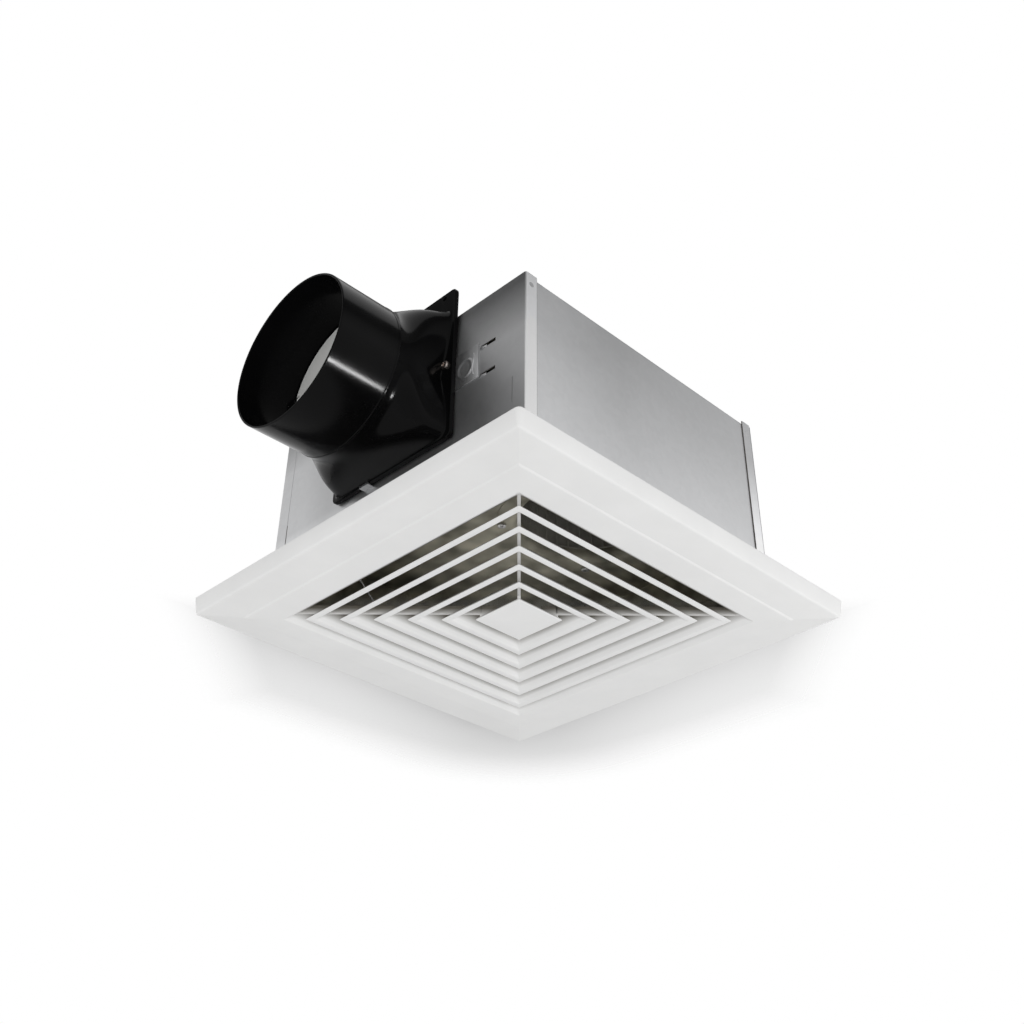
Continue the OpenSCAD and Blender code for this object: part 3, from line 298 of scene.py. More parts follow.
def plastic(name, dark, light, roughness, grain, mottle=22.0, grainDepth=0.00002, level=0.5):
    material, tree, bsdf = shader(name)
    where = coordinates(tree)
    cloud = noise(tree, where, mottle, 4.0, 0.6)
    setShader(tree, bsdf, blendColor(tree, spread(tree, cloud, 0, 1), dark, light),
              spread(tree, cloud, *roughness), noise(tree, where, grain, 2.0), 0.3, grainDepth)
    bsdf.inputs["Specular IOR Level"].default_value = level
    return material


# Zinc-coated or bare sheet: soft spangle, cloudy patina, faint rolling lines
metalGrain = {"warp": 70.0, "warpBy": 0.006, "soft": 0.35, "cloud": 7.0, "lines": 180.0, "dull": 0.03, "keen": -0.02}


def sheetMetal(name, dark, light, roughness, spangle=240.0, spangleShare=0.3, streak=(1, 1, 1), depth=0.00001):
    v = metalGrain
    material, tree, bsdf = shader(name)
    where = coordinates(tree)
    warp = noise(tree, where, v["warp"], 2.0, output="Color")
    shift = node(tree, "ShaderNodeVectorMath", warp, (v["warpBy"],) * 3, where, operation="MULTIPLY_ADD")
    cells = node(tree, "ShaderNodeTexVoronoi", feature="SMOOTH_F1", Vector=shift.outputs["Vector"], Scale=spangle,
                 Smoothness=v["soft"])
    shade = node(tree, "ShaderNodeSeparateColor", cells.outputs["Color"]).outputs["Red"]
    cloud = noise(tree, where, v["cloud"], 6.0, 0.62)
    drawn = noise(tree, coordinates(tree, streak), v["lines"], 3.0, 0.6)
    tone = math2(tree, "ADD", math2(tree, "MULTIPLY", shade, spangleShare), spread(tree, cloud, 0.0, 1 - spangleShare))
    rough = math2(tree, "ADD", spread(tree, cloud, *roughness), spread(tree, drawn, v["keen"], v["dull"]))
    setShader(tree, bsdf, blendColor(tree, tone, dark, light), rough, drawn, 0.15, depth)
    bsdf.inputs["Metallic"].default_value = 1.0
    return material


# The finishes, by the record's material slots
palette = {
    "galvanised_sheet": sheetMetal("galvanisedSheet", (0.535, 0.538, 0.545), (0.60, 0.603, 0.61), (0.36, 0.44),
                                   streak=(1, 1, 9)),
    "fastener_zinc": sheetMetal("zincFastener", (0.48, 0.48, 0.47), (0.64, 0.63, 0.61), (0.24, 0.36), 900.0),
    "adapter_screw_steel": sheetMetal("warmScrew", (0.60, 0.53, 0.49), (0.74, 0.66, 0.61), (0.22, 0.34), 900.0),
    "white_plastic": plastic("whitePlastic", (0.79, 0.79, 0.785), (0.83, 0.83, 0.825), (0.46, 0.54), 900.0,
                             level=0.24),
    "black_plastic": plastic("blackPlastic", (0.0018, 0.0018, 0.0019), (0.003, 0.003, 0.0032), (0.13, 0.19), 260.0,
                             grainDepth=0.000004, level=0.07),
    "black_rubber": plastic("blackRubber", (0.018, 0.018, 0.018), (0.035, 0.034, 0.033), (0.6, 0.75), 1200.0),
    "foam_gasket": plastic("foamGasket", (0.03, 0.03, 0.03), (0.06, 0.06, 0.06), (0.85, 0.95), 2500.0,
                           grainDepth=0.0001),
    "motor_steel": sheetMetal("motorSteel", (0.34, 0.35, 0.36), (0.48, 0.49, 0.50), (0.30, 0.40), 600.0, 0.15),
    "core_steel": sheetMetal("coreSteel", (0.09, 0.09, 0.10), (0.20, 0.19, 0.18), (0.45, 0.6), 900.0, 0.2,
                             (1, 1, 60), 0.00004),
    "winding_enamel": sheetMetal("windingEnamel", (0.40, 0.14, 0.05), (0.60, 0.26, 0.10), (0.25, 0.4), 900.0),
    "bearing_steel": sheetMetal("bearingSteel", (0.58, 0.58, 0.59), (0.70, 0.70, 0.71), (0.12, 0.2), 900.0, 0.1),
    "wheel_sheet": plastic("wheelCoating", (0.27, 0.26, 0.23), (0.42, 0.40, 0.36), (0.4, 0.5), 700.0),
    "damper_aluminium": plastic("damperCoating", (0.74, 0.74, 0.72), (0.80, 0.80, 0.78), (0.38, 0.48), 700.0),
    "capacitor_plastic": plastic("capacitorCase", (0.74, 0.74, 0.71), (0.80, 0.80, 0.77), (0.35, 0.45), 900.0),
    "terminal_plastic": plastic("terminalBlock", (0.66, 0.62, 0.48), (0.74, 0.70, 0.56), (0.4, 0.5), 900.0),
    "terminal_brass": sheetMetal("terminalBrass", (0.52, 0.36, 0.13), (0.70, 0.52, 0.23), (0.2, 0.32), 900.0),
    "lead_sheath": plastic("leadSheath", (0.02, 0.02, 0.022), (0.04, 0.04, 0.042), (0.45, 0.55), 1500.0),
    "spring_wire": sheetMetal("springWire", (0.44, 0.44, 0.44), (0.60, 0.60, 0.60), (0.2, 0.3), 1200.0, 0.1),
}


# A copy of a finish to be worked on, with the axes of its place and what feeds its colour
def reworked(slot, name):
    material = palette[slot].copy()
    material.name = name
    tree = material.node_tree
    color = tree.nodes["Principled BSDF"].inputs["Base Color"]
    return material, tree, splitAxes(tree, coordinates(tree)), color, color.links[0].from_socket


# painted shade inside the housing: its bounds in millimetres, the dull tones and soft blotches that paint it and the
# least roughness there; most and the wall ramp limit the painted light outside
sheetPaintedShade = {"wallX": 131.9, "wallY": 136.8, "roof": 159.9, "dark": (0.26, 0.25, 0.205),
              "light": (0.66, 0.63, 0.53), "blot": 34.0, "blotFrom": 0.34, "blotTo": 0.70, "rough": 0.75,
              "most": 1.95, "wallFrom": 8.0, "wallTo": 14.0}
# painted light and shade on the outer sheet, as soft lighter and darker areas: gain, then where each grows, in metres
paintedOuterLight = [
    (1.05, {"Y": (-0.1370, -0.1378), "Z": (0.125, 0.020)}),
    (0.70, {"Y": (-0.1370, -0.1378), "X": (-0.030, -0.115)}),
    (-0.68, {"X": (-0.1310, -0.1322), "Z": (0.112, 0.156)}),
    (0.18, {"X": (-0.1310, -0.1322), "Y": (0.075, 0.105)}),
    (0.50, {"X": (-0.1310, -0.1322), "Z": (0.052, 0.030), "Y": (-0.034, 0.004)}),
]


# Sheet that is bright zinc outside with painted lighter and darker areas, and dull painted shade with soft blotches
# inside the housing
def housedSheet(v):
    material, tree, axes, color, zinc = reworked("galvanised_sheet", "housedSheet")
    inside = 1.0
    for axis, limit in (("X", v["wallX"]), ("Y", v["wallY"]), ("Z", v["roof"])):
        near = math2(tree, "LESS_THAN", math2(tree, "ABSOLUTE", axes[axis]), limit * mm)
        inside = math2(tree, "MULTIPLY", near, inside)
    blot = spread(tree, noise(tree, coordinates(tree), v["blot"], 2.0, 0.45), 0.0, 1.0, v["blotFrom"], v["blotTo"])
    walls = spread(tree, axes["Z"], 0.0, 1.0, v["wallFrom"] * mm, v["wallTo"] * mm)
    # painted light and shade outside: each area's gain brightens or darkens the zinc above the lowest walls
    level = 1.0
    for gain, area in paintedOuterLight:
        part = math2(tree, "MULTIPLY", walls, gain)
        for axis, (start, full) in area.items():
            part = math2(tree, "MULTIPLY", spread(tree, axes[axis], 0.0, 1.0, start, full), part)
        level = math2(tree, "ADD", part, level)
    zincWithPaintedLight = node(tree, "ShaderNodeVectorMath", zinc, operation="SCALE", Scale=math2(tree, "MINIMUM", level, v["most"]))
    # painted shade: inside the housing the zinc gives way to dull tones with soft blotches
    dull = blendColor(tree, blot, v["dark"], v["light"])
    feed(tree, color, blendColor(tree, inside, zincWithPaintedLight.outputs["Vector"], dull))
    roughness = tree.nodes["Principled BSDF"].inputs["Roughness"]
    least = math2(tree, "MULTIPLY", inside, v["rough"])
    feed(tree, roughness, math2(tree, "MAXIMUM", roughness.links[0].from_socket, least))
    return material


zincPaintedLightAndShade = housedSheet(sheetPaintedShade)
# painted shade in the grille's slots, in millimetres: the heights where it starts and is full, the opening's half width
# and soft edge, and its tone
paintedSlotShade = {"from": -14.8, "to": -8.0, "half": 124.2, "edge": 1.0, "dust": (0.21, 0.195, 0.165)}


# White moulding with painted shade in its slots, darker above their lips
def slottedWhite(v):
    material, tree, axes, color, white = reworked("white_plastic", "slottedWhite")
    raised = spread(tree, axes["Z"], 0.0, 1.0, v["from"] * mm, v["to"] * mm)
    reach = math2(tree, "MAXIMUM", math2(tree, "ABSOLUTE", axes["X"]), math2(tree, "ABSOLUTE", axes["Y"]))
    within = spread(tree, reach, 1.0, 0.0, v["half"] * mm, (v["half"] + v["edge"]) * mm)
    # painted shade: darker with height above the lips, only within the opening
    feed(tree, color, blendColor(tree, math2(tree, "MULTIPLY", raised, within), white, v["dust"]))
    return material


paintedSlotWhite = slottedWhite(paintedSlotShade)
nodeSlot = {part["node"]: part["material_slot"] for part in frame["record"]["subparts"]}
nodeBody = {name: body for body, names in frame["record"]["behaviour"]["bodies"].items() for name in names}
for name, slotName in nodeSlot.items():
    nodes[name].data.materials.clear()
    nodes[name].data.materials.append(zincPaintedLightAndShade if slotName == "galvanised_sheet" else palette[slotName])
print("finishes made")


def dress(obj, material, body):
    obj.data.materials.clear()
    obj.data.materials.append(material)
    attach(obj, body)
    return obj


# A visual piece that stands for a CAD node takes the node's body, slot and finish
def standFor(obj, stand, finish=None):
    slotName = nodeSlot[stand]
    dress(obj, finish or palette[slotName], nodeBody[stand])
    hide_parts(stand)
    return obj


def camelName(stand):
    first, *rest = stand.split("_")
    return first + "".join(word.title() for word in rest)


def piece(stand, shape, name=None, angle=32.0, finish=None):
    return standFor(makeObject(name or camelName(stand), *shape, angle=angle), stand, finish)


# grille: the moulded frame, whose back carries the spring ears
grille = {
    "rimTop": 175.0, "rimLow": 172.5, "rimHeight": 14.0, "faceZ": -17.5, "wall": 2.4,
    "stepHalf": 147.0, "stepLow": 145.4, "stepZ": -15.75, "stepDepth": 0.9,
    "radii": [2.2, 0.35, 0.35, 1.3, 0.4, 0.4, 0.6, 0, 0, 1.0, 0.5, 0.6],
    "openHalf": 125.0, "lipRun": 13.0, "lipRise": 10.5, "lipThick": 2.0, "lipCorner": 8.0, "corner": 4.0,
    "earY": 133.3, "earThick": 1.8, "earHalf": 5.5, "earTopZ": -5.5, "earEdge": 0.4, "pegR": 3.5, "pegLength": 6.6,
    "pegHeadR": 4.5, "pegHeadThick": 1.5, "pegEdge": 0.5, "gusset": 9.0, "gussetIn": 0.8, "gussetHalf": 0.6,
    "gussetHigh": 5.0,
}


def springEar(g, side):
    low = g["faceZ"] + g["wall"] * 0.5
    half, thick, edge = g["earHalf"], g["earThick"], g["earEdge"]
    y0, y1 = sorted((side * g["earY"], side * (g["earY"] + thick)))
    disc = [(0, 0), (half - edge, 0), (half, edge), (half, thick - edge), (half - edge, thick), (0, thick)]
    parts = [roundBox((-half, y0, low), (half, y1, g["earTopZ"]), 0.5),
             turned(disc, (0, min(y0, y1), g["earTopZ"]), "y", 40, False)]
    y0, y1 = sorted((side * (g["earY"] + thick * 0.5), side * (g["earY"] + g["gusset"] * 0.5)))
    for x in (-half + g["gussetIn"], half - g["gussetIn"]):
        parts.append(roundBox((x - g["gussetHalf"], y0, low), (x + g["gussetHalf"], y1, low + g["gussetHigh"]), 0.3))
    r, length, head, end = g["pegR"], g["pegLength"], g["pegHeadR"], g["pegLength"] + g["pegHeadThick"]
    peg = [(0, 0), (r, 0), (r, length), (head - g["pegEdge"], length), (head, length + g["pegEdge"]), (r, end),
           (0, end)]
    parts.append(turned([(r, -side * h) for r, h in peg], (0, side * g["earY"], g["earTopZ"]), "y", 40, False))
    return parts


def grilleFrame(g):
    wall, stepFoot = g["wall"], g["stepZ"] - g["stepDepth"]
    lipHalf, lipZ = g["openHalf"] - g["lipRun"], g["faceZ"] + g["lipRise"]
    inner = g["rimLow"] - wall
    section = [
        (g["rimLow"], -g["rimHeight"]), (g["stepHalf"], g["stepZ"]), (g["stepLow"], stepFoot),
        (g["openHalf"], g["faceZ"]), (lipHalf, lipZ), (lipHalf + g["lipThick"], lipZ + g["lipThick"] * 0.6),
        (g["openHalf"] + wall, g["faceZ"] + wall), (g["stepLow"], stepFoot + wall),
        (g["stepHalf"], g["stepZ"] + wall), (inner, wall - g["rimHeight"]), (inner, 0), (g["rimTop"], 0),
    ]
    loops = []
    for h, z in filletPath(section, g["radii"]):
        inLip = min(max((g["openHalf"] - h) / g["lipRun"], 0.0), 1.0)
        loops.append(squareLoop(h, z, max(g["corner"] - (g["rimTop"] - h), g["lipCorner"] * inLip)))
    return gather([joinLoops(loops)] + springEar(g, -1) + springEar(g, 1))


piece("grille_frame", grilleFrame(grille), angle=28, finish=paintedSlotWhite)
louvres = {"first": 42.0, "pitch": 18.0, "count": 5, "rise": 11.5, "run": 12.5, "thick": 5.8, "topThick": 2.4,
           "faceZ": -17.5, "edge": 0.7, "topCorner": 9.0, "footCorner": 0.6}


def louvreRings(v):
    parts = []
    low, top, edge = v["faceZ"], v["faceZ"] + v["rise"], v["edge"]
    for k in range(v["count"]):
        half = v["first"] + k * v["pitch"]
        section = filletPath([(half, low), (half - v["thick"], low), (half - v["topThick"] - v["run"], top),
                              (half - v["run"], top)], [edge * 0.5, edge * 2.4, edge * 0.4, edge])
        loops = []
        for h, z in section:
            corner = min(v["topCorner"], h * 0.4) * ((z - low) / v["rise"])
            loops.append(squareLoop(h, z, max(v["footCorner"], corner), 6, 0.8))
        parts.append(joinLoops(loops))
    return gather(parts)


piece("grille_louvres", louvreRings(louvres), finish=paintedSlotWhite)
ribs = {"thick": 2.5, "start": 27.5, "reach": 170.0, "inner": 16.8, "innerZ": -14.5, "low": -12.6, "top": -5.5}


def grilleRibs(v):
    parts = []
    half = v["thick"] / 2
    for k in range(4):
        turn = radians(45 + 90 * k)
        parts.append(roundBox((v["start"], -half, v["low"]), (v["reach"], half, v["top"]), 0.7, 3, turn))
        parts.append(roundBox((v["inner"], -half, v["innerZ"]), (v["start"] + 2, half, v["top"]), 0.5, 2, turn))
    return gather(parts)


piece("grille_ribs", grilleRibs(ribs), finish=paintedSlotWhite)
centreCap = {"half": 24.0, "faceZ": -17.5, "crown": 1.2, "thick": 3.0, "edge": 0.7, "middle": 0.6}


def grilleCap(v):
    z, top = v["faceZ"], v["faceZ"] + v["thick"]
    section = filletPath([(v["middle"], z - v["crown"]), (v["half"], z), (v["half"] - v["thick"], top),
                          (v["middle"], top)], [0, v["edge"], 0.4, 0])
    return capped([squareLoop(h, w, 0.5 if h > 2 else 0.2, 3, 0.5 if h > 2 else 0.1) for h, w in section])


piece("grille_cap", grilleCap(centreCap), angle=3.2)
print("grille made")

# duct adapter: flange, square-to-round part, crease and round collar in one moulding
adapter = {
    "y": -3.0, "z": 108.0, "backX": -133.5, "flangeX": -137.0, "creaseX": -182.0, "mouthX": -233.5,
    "flangeHalf": 65.0, "flangeAbove": 80.0, "flangeBelow": 57.0, "flangeCorner": 4.0, "flangeEdge": 0.5,
    "openHalf": 51.0, "openAbove": 44.8, "openBelow": 51.2, "openCorner": 2.0,
    "boxHalf": 53.0, "boxAbove": 59.0, "boxBelow": 56.0, "squareness": 18.0, "flarePower": 2.8, "flare": 1.5,
    "cornerHalf": 61.5, "cornerAbove": 60.0, "cornerBelow": 55.5, "cornerPower": 2.3, "cornerWidth": 1.3,
    "collarR": 61.0, "wall": 1.6, "lipEdge": 0.7, "creaseBead": 0.35,
    "screwY": 57.5, "screwZ": 8.0, "screwBore": 2.2, "holeY": 53.0, "holeZ": 75.0, "holeR": 2.0,
    "drillIn": 3.0, "drill": 12.0, "stopSunk": 0.5,
    "lugX": -185.0, "lugZ": 116.0, "lugR": 3.5, "lugBore": 1.55, "lugLength": 5.0, "lugEnd": 59.1, "lugEdge": 0.4,
    "stopX": -184.1, "stopThick": 3.0, "stopHalf": 5.0, "stopHeight": 4.0,
}


# Distance from the middle to the edge of a rounded rectangle (low, high) along a turn
def rayToRectangle(a, low, high, corner):
    c, s = cos(a), sin(a)
    sideY, sideZ = (high[0] if c > 0 else -low[0]), (high[1] if s > 0 else -low[1])
    c, s = abs(c), abs(s)
    t = min(sideY / max(c, 1e-9), sideZ / max(s, 1e-9))
    cornerY, cornerZ = sideY - corner, sideZ - corner
    if t * c > cornerY and t * s > cornerZ:
        b = c * cornerY + s * cornerZ
        t = b + sqrt(max(b * b - cornerY ** 2 - cornerZ ** 2 + corner ** 2, 0))
    return t


# Turns of the loops' points: even steps, and more where the flange's corners are round
def adapterAngles(v, count=144, least=0.12):
    angles = {round(360 * k / count, 4) for k in range(count)}
    r = v["flangeCorner"]
    for side in signs:
        for reachZ in (v["flangeAbove"], -v["flangeBelow"]):
            for k in range(7):
                y, z = polar(r, radians(15 * k), v["flangeHalf"] - r, abs(reachZ) - r)
                angles.add(round(degrees(atan2(copysign(z, reachZ), side * y)) % 360, 4))
    kept = []
    for a in sorted(angles):
        if not kept or a - kept[-1] > least:
            kept.append(a)
    return [radians(a) for a in kept]


def ductAdapter(v):
    angles = adapterAngles(v)
    flangeX, crease, collar, wall = v["flangeX"], v["creaseX"], v["collarR"], v["wall"]
    length, inner, soft = flangeX - crease, v["collarR"] - v["wall"], v["flangeEdge"]
    flange = ((-v["flangeHalf"], -v["flangeBelow"]), (v["flangeHalf"], v["flangeAbove"]), v["flangeCorner"])
    opening = ((-v["openHalf"], -v["openBelow"]), (v["openHalf"], v["openAbove"]), v["openCorner"])
    loops = []

    def loop(x, radius):
        loops.append([(x, *polar(radius(a), a, v["y"], v["z"])) for a in angles])

    def outline(box, grow=0.0):
        return lambda a: rayToRectangle(a, *box) + grow

    # nearly square at the flange, where its corners flare out, and round at the crease
    def shell(s, inset):
        n = 2 + v["squareness"] * (1 - s) ** v["flarePower"]

        def rounded(a, half, tall):
            w, h = (side + (collar - side) * s - inset for side in (half, tall))
            return (abs(cos(a) / w) ** n + abs(sin(a) / h) ** n) ** (-1 / n)

        def radius(a):
            end = "Below" if sin(a) < 0 else "Above"
            plain = rounded(a, v["boxHalf"], v["box" + end])
            wide = rounded(a, v["cornerHalf"], v["corner" + end])
            return plain + (wide - plain) * ((1 - s) ** v["cornerPower"] * abs(sin(2 * a)) ** v["cornerWidth"])
        return radius

    loop(v["backX"], outline(opening))
    for x, inset in ((v["backX"], soft), (v["backX"] - soft, 0), (flangeX + soft, 0), (flangeX, soft)):
        loop(x, outline(flange, -inset))
    for k in range(7):
        t = k / 6
        outer = shell(v["flare"] * t / length, v["flare"] * (sqrt(1 - (1 - t) ** 2) - 1))
        loop(flangeX - v["flare"] * t, lambda a: min(outer(a), outline(flange, -1.0)(a)))
    for k in range(1, 25):
        s = v["flare"] / length + (1 - v["flare"] / length) * k / 24
        loop(flangeX - length * s, shell(s, 0))
    edge, mouth = v["lipEdge"], v["mouthX"]
    for dx, rise in ((-0.4, v["creaseBead"]), (-1.4, v["creaseBead"]), (-2.0, 0.0), (-3.0, 0.0), (-30.0, 0.0),
                     (mouth - crease + 1.6, 0.0)):
        loop(crease + dx, lambda a: collar + rise)
    for start in (0, 1):
        for k in range(5):
            out, rim = polar(edge, radians(22.5 * k + 90 * start))
            loop(mouth + edge - rim, lambda a: (inner + edge if start else collar - edge) + out)
    loop(crease - 2, lambda a: inner)
    for k in range(24, -1, -1):
        loop(flangeX - length * (k / 24), shell(k / 24, wall))
    loop(flangeX + 0.6, outline(opening))
    body = makeObject("ductAdapter", *joinLoops(loops), angle=24)
    cutters, extras = [], []
    for side in signs:
        for name in ("screw", "hole"):
            r = v["screwBore"] if name == "screw" else v["holeR"]
            place = (flangeX - v["drillIn"], v["y"] + side * v[name + "Y"], v["z"] + v[name + "Z"])
            cutters.append(turned([(0, 0), (r, 0), (r, v["drill"]), (0, v["drill"])], place, "x", 24, False))
        bore, r, long, e = v["lugBore"], v["lugR"], v["lugLength"], v["lugEdge"]
        lug = [(bore, 0.6), (r - e, 0), (r, e), (r, long + 0.8), (0, long + 0.8), (0, long - 1), (bore, long - 1)]
        lug = [(r, side * (h + v["lugEnd"] - long)) for r, h in lug]
        extras.append(turned(lug, (v["lugX"], v["y"], v["lugZ"]), "y", 32))
    cutAway(body, gather(cutters), 24)
    foot, head = v["z"] - inner - v["stopSunk"], v["stopHeight"] + v["stopSunk"]
    extras.append(roundBox((v["stopX"], v["y"] - v["stopHalf"], foot),
                           (v["stopX"] + v["stopThick"], v["y"] + v["stopHalf"], foot + head), 0.6))
    return body, makeObject("adapterFittings", *gather(extras))


adapterShell, adapterFittings = ductAdapter(adapter)
standFor(adapterShell, "duct_adapter")
dress(adapterFittings, palette["black_plastic"], "housing")
print("duct adapter made")

# fasteners: one Geometry Nodes tree puts a turned or recessed head wherever a fastener stands
heads = {"rivetHeadR": 3.2, "rivetHeadH": 1.0, "rivetR": 1.6, "tailR": 2.4, "tailH": 1.2,
         "panHeadR": 3.5, "panHeadH": 2.2, "screwR": 2.0, "threadPitch": 1.0, "recessR": 2.0, "recessHalf": 0.45,
         "recessDeep": 1.3}


def crossLoop(r, half, z):
    middle = (r + half) / 2
    quarter = [(r, 0), (r, half), (middle, half), (half, half), (half, middle), (half, r)]
    return [(*spun(x, y, pi / 2 * k), z) for k in range(4) for x, y in quarter]


# Pan head below zero with a cross recess, and a shank whose thread ridges climb to its tip
def screwShape(v, length):
    low, pitch, r, head = -v["panHeadH"], v["threadPitch"], v["screwR"], v["panHeadR"]
    loops = [crossLoop(v["recessR"] * 0.35, v["recessHalf"] * 0.5, low + v["recessDeep"]),
             crossLoop(v["recessR"], v["recessHalf"], low + 0.05)]
    loops += [ringLoop(w, low + z) for w, z in ((2.5, 0.02), (0.95 * head, 0.35), (head, 0.9), (head, -low))]
    rise = 0.0
    while rise < length - pitch:
        loops += [ringLoop(r * 0.86, rise + 0.15 * pitch), ringLoop(r, rise + 0.5 * pitch)]
        rise += pitch
    return capped(loops + [ringLoop(r * 0.8, length - 0.6), ringLoop(r * 0.35, length)])


def rivetShape(v, grip):
    profile = [(v["rivetHeadR"] * a, -b * v["rivetHeadH"])
               for a, b in ((0, 1), (0.45, 0.92), (0.85, 0.55), (1, 0.15), (1, 0))]
    profile += [(v["rivetR"], 0), (v["rivetR"], grip)]
    profile += [(v["tailR"] * a, grip + b * v["tailH"]) for a, b in ((0.9, 0), (1, 0.35), (0.75, 0.85))]
    profile += [(0.8, grip + v["tailH"]), (0.5, grip + 0.4 * v["tailH"]), (0, grip + 0.4 * v["tailH"])]
    return turned(profile, (0, 0, 0), "z", 24, False)


# A tree with named inputs that makes copies on points, as real meshes with one finish
def copyingTree(name, inputs):
    tree = bpy.data.node_groups.new(name, "GeometryNodeTree")
    for label, kind in inputs:
        tree.interface.new_socket(label, in_out="INPUT", socket_type="NodeSocket" + kind)
    tree.interface.new_socket("Geometry", in_out="OUTPUT", socket_type="NodeSocketGeometry")
    source = node(tree, "NodeGroupInput").outputs
    copies = node(tree, "GeometryNodeInstanceOnPoints")
    real = node(tree, "GeometryNodeRealizeInstances", copies.outputs["Instances"])
    finish = node(tree, "GeometryNodeSetMaterial", Geometry=real.outputs["Geometry"], Material=source["Finish"])
    node(tree, "NodeGroupOutput", finish.outputs["Geometry"])
    return tree, source, copies.inputs


def placingTree():
    tree, source, copies = copyingTree("placeOnPoints", (("Places", "Geometry"), ("Shape", "Object"),
                                                         ("Size", "Float"), ("Finish", "Material")))
    shape = node(tree, "GeometryNodeObjectInfo", Object=source["Shape"])
    aim = node(tree, "GeometryNodeInputNamedAttribute", data_type="FLOAT_VECTOR", Name="aim")
    turn = node(tree, "FunctionNodeAlignRotationToVector", axis="Z", Vector=aim.outputs["Attribute"])
    feed(tree, copies["Points"], source["Places"])
    feed(tree, copies["Instance"], shape.outputs["Geometry"])
    feed(tree, copies["Rotation"], turn.outputs["Rotation"])
    feed(tree, copies["Scale"], source["Size"])
    return tree


# The result of a tree as a plain mesh, its inputs set by their names
def runTree(obj, tree, **values):
    modifier = obj.modifiers.new("copies", "NODES")
    modifier.node_group = tree
    for item in tree.interface.items_tree:
        if item.in_out == "INPUT" and item.name in values:
            modifier[item.identifier] = values[item.name]
    return applyModifiers(obj)


# Copies of one shape at places (x, y, z) that each aim along a vector, as one plain mesh
def placed(name, shape, places, finish):
    template = makeObject(name + "Template", *shape)
    points = bpy.data.meshes.new(name)
    points.from_pydata([tuple(c * mm for c in place) for place, aim in places], [], [])
    layer = points.attributes.new("aim", "FLOAT_VECTOR", "POINT")
    for k, (place, aim) in enumerate(places):
        layer.data[k].vector = aim
    obj = runTree(addObject(name, points), placing, Shape=template, Size=1.0, Finish=finish)
    bpy.data.objects.remove(template)
    return obj


placing = placingTree()
housing = {
    "endIn": 131.7, "endX": 132.5, "sideIn": 136.4, "sideY": 138.0, "height": 162.0,
    "frameZ": 6.0, "lipX": 130.6, "lipY": 135.3, "share": 0.62, "grip": 1.9,
    "bracketX": 24.0, "bracketY": 135.4, "bracketZ": 24.5,
    "blowerX": 130.7, "blowerY": 96.0, "blowerZ": 24.0, "blowerLength": 3.8,
    "weldZ": (9.0, 152.0), "flangeInset": 5.6, "adapterScrewLength": 9.3,
    "terminal": (-106.5, -106.0), "terminalZ": (88.0, 100.0, 112.0), "terminalR": 2.0, "terminalLength": 7.0,
}
wheel = {
    "x": 24.0, "y": -52.0, "r": 66.0, "innerR": 55.0, "ringZ": 65.8, "ringT": 2.0, "bladeZ": 67.8, "bladeH": 62.0,
    "blades": 36, "sheet": 0.8, "sweep": 10.33, "backZ": 129.8, "backT": 1.2, "dishZ": 92.8, "dishR": 41.5,
    "hubR": 10.0, "hubH": 12.0, "bore": 4.05, "nutR": 7.0, "nutH": 6.5,
    "inletZ": 55.2, "inletR": 54.0, "lipR": 7.0, "inletFlange": 11.0, "inletReach": 3.0,
    "inletScrewR": 67.5, "inletScrewLength": 5.6,
    "earR": 47.0, "motorScrewZ": 147.8, "motorScrewLength": 7.8, "bushZ": 149.3,
    "bush": [(2.5, 0.3), (2.8, 0), (5.1, 0), (5.5, 0.4), (5.5, 1.1), (5.0, 1.5), (5.0, 2.0), (5.5, 2.4), (5.5, 3.1),
             (5.1, 3.5), (2.8, 3.5), (2.5, 3.2)],
}


# Each kind of fastener: its shape, then its places and the way that each aims
def fasteners(h, w, a):
    rivets = [((p * h["lipX"], q * h["sideIn"] * h["share"], h["frameZ"]), (p, 0, 0)) for p, q in signPairs]
    rivets += [((q * h["endIn"] * h["share"], p * h["lipY"], h["frameZ"]), (0, p, 0)) for p, q in signPairs]
    rivets += [((q * h["bracketX"], p * h["bracketY"], h["bracketZ"]), (0, p, 0)) for p, q in signPairs]
    blower = [((p * h["blowerX"], q * h["blowerY"], h["blowerZ"]), (p, 0, 0)) for p, q in signPairs]
    flange = [((a["flangeX"], a["y"] + p * a["screwY"], a["z"] + a["screwZ"]), (1, 0, 0)) for p in signs]
    inlet = [polar(w["inletScrewR"], radians(45 + 90 * k), w["x"], w["y"]) for k in range(4)]
    motor = [polar(w["earR"], radians(120 * k), w["x"], w["y"]) for k in range(3)]
    r, end = h["terminalR"], h["terminalLength"]

    def upward(ring, z):
        return [((*p, z), (0, 0, 1)) for p in ring]

    small = [(r / 2, -0.5), (r - 0.3, -0.45), (r, -0.1), (r, end - 0.1), (r - 0.4, end)]
    return {
        "frame_rivets": (rivetShape(heads, h["grip"]), rivets),
        "blower_screws": (screwShape(heads, h["blowerLength"]), blower),
        "adapter_screws": (screwShape(heads, h["adapterScrewLength"]), flange),
        "inlet_screws": (screwShape(heads, w["inletScrewLength"]), upward(inlet, w["inletZ"])),
        "motor_screws": (screwShape(heads, w["motorScrewLength"]), upward(motor, w["motorScrewZ"])),
        "motor_bushes": (turned(w["bush"], (0, 0, 0), "z", 24), upward(motor, w["bushZ"])),
        "terminal_screws": (capped([ringLoop(*p) for p in small]),
                            [((*h["terminal"], z), (1, 0, 0)) for z in h["terminalZ"]]),
    }


for stand, (shape, places) in fasteners(housing, wheel, adapter).items():
    standFor(placed(camelName(stand), shape, places, palette[nodeSlot[stand]]), stand)

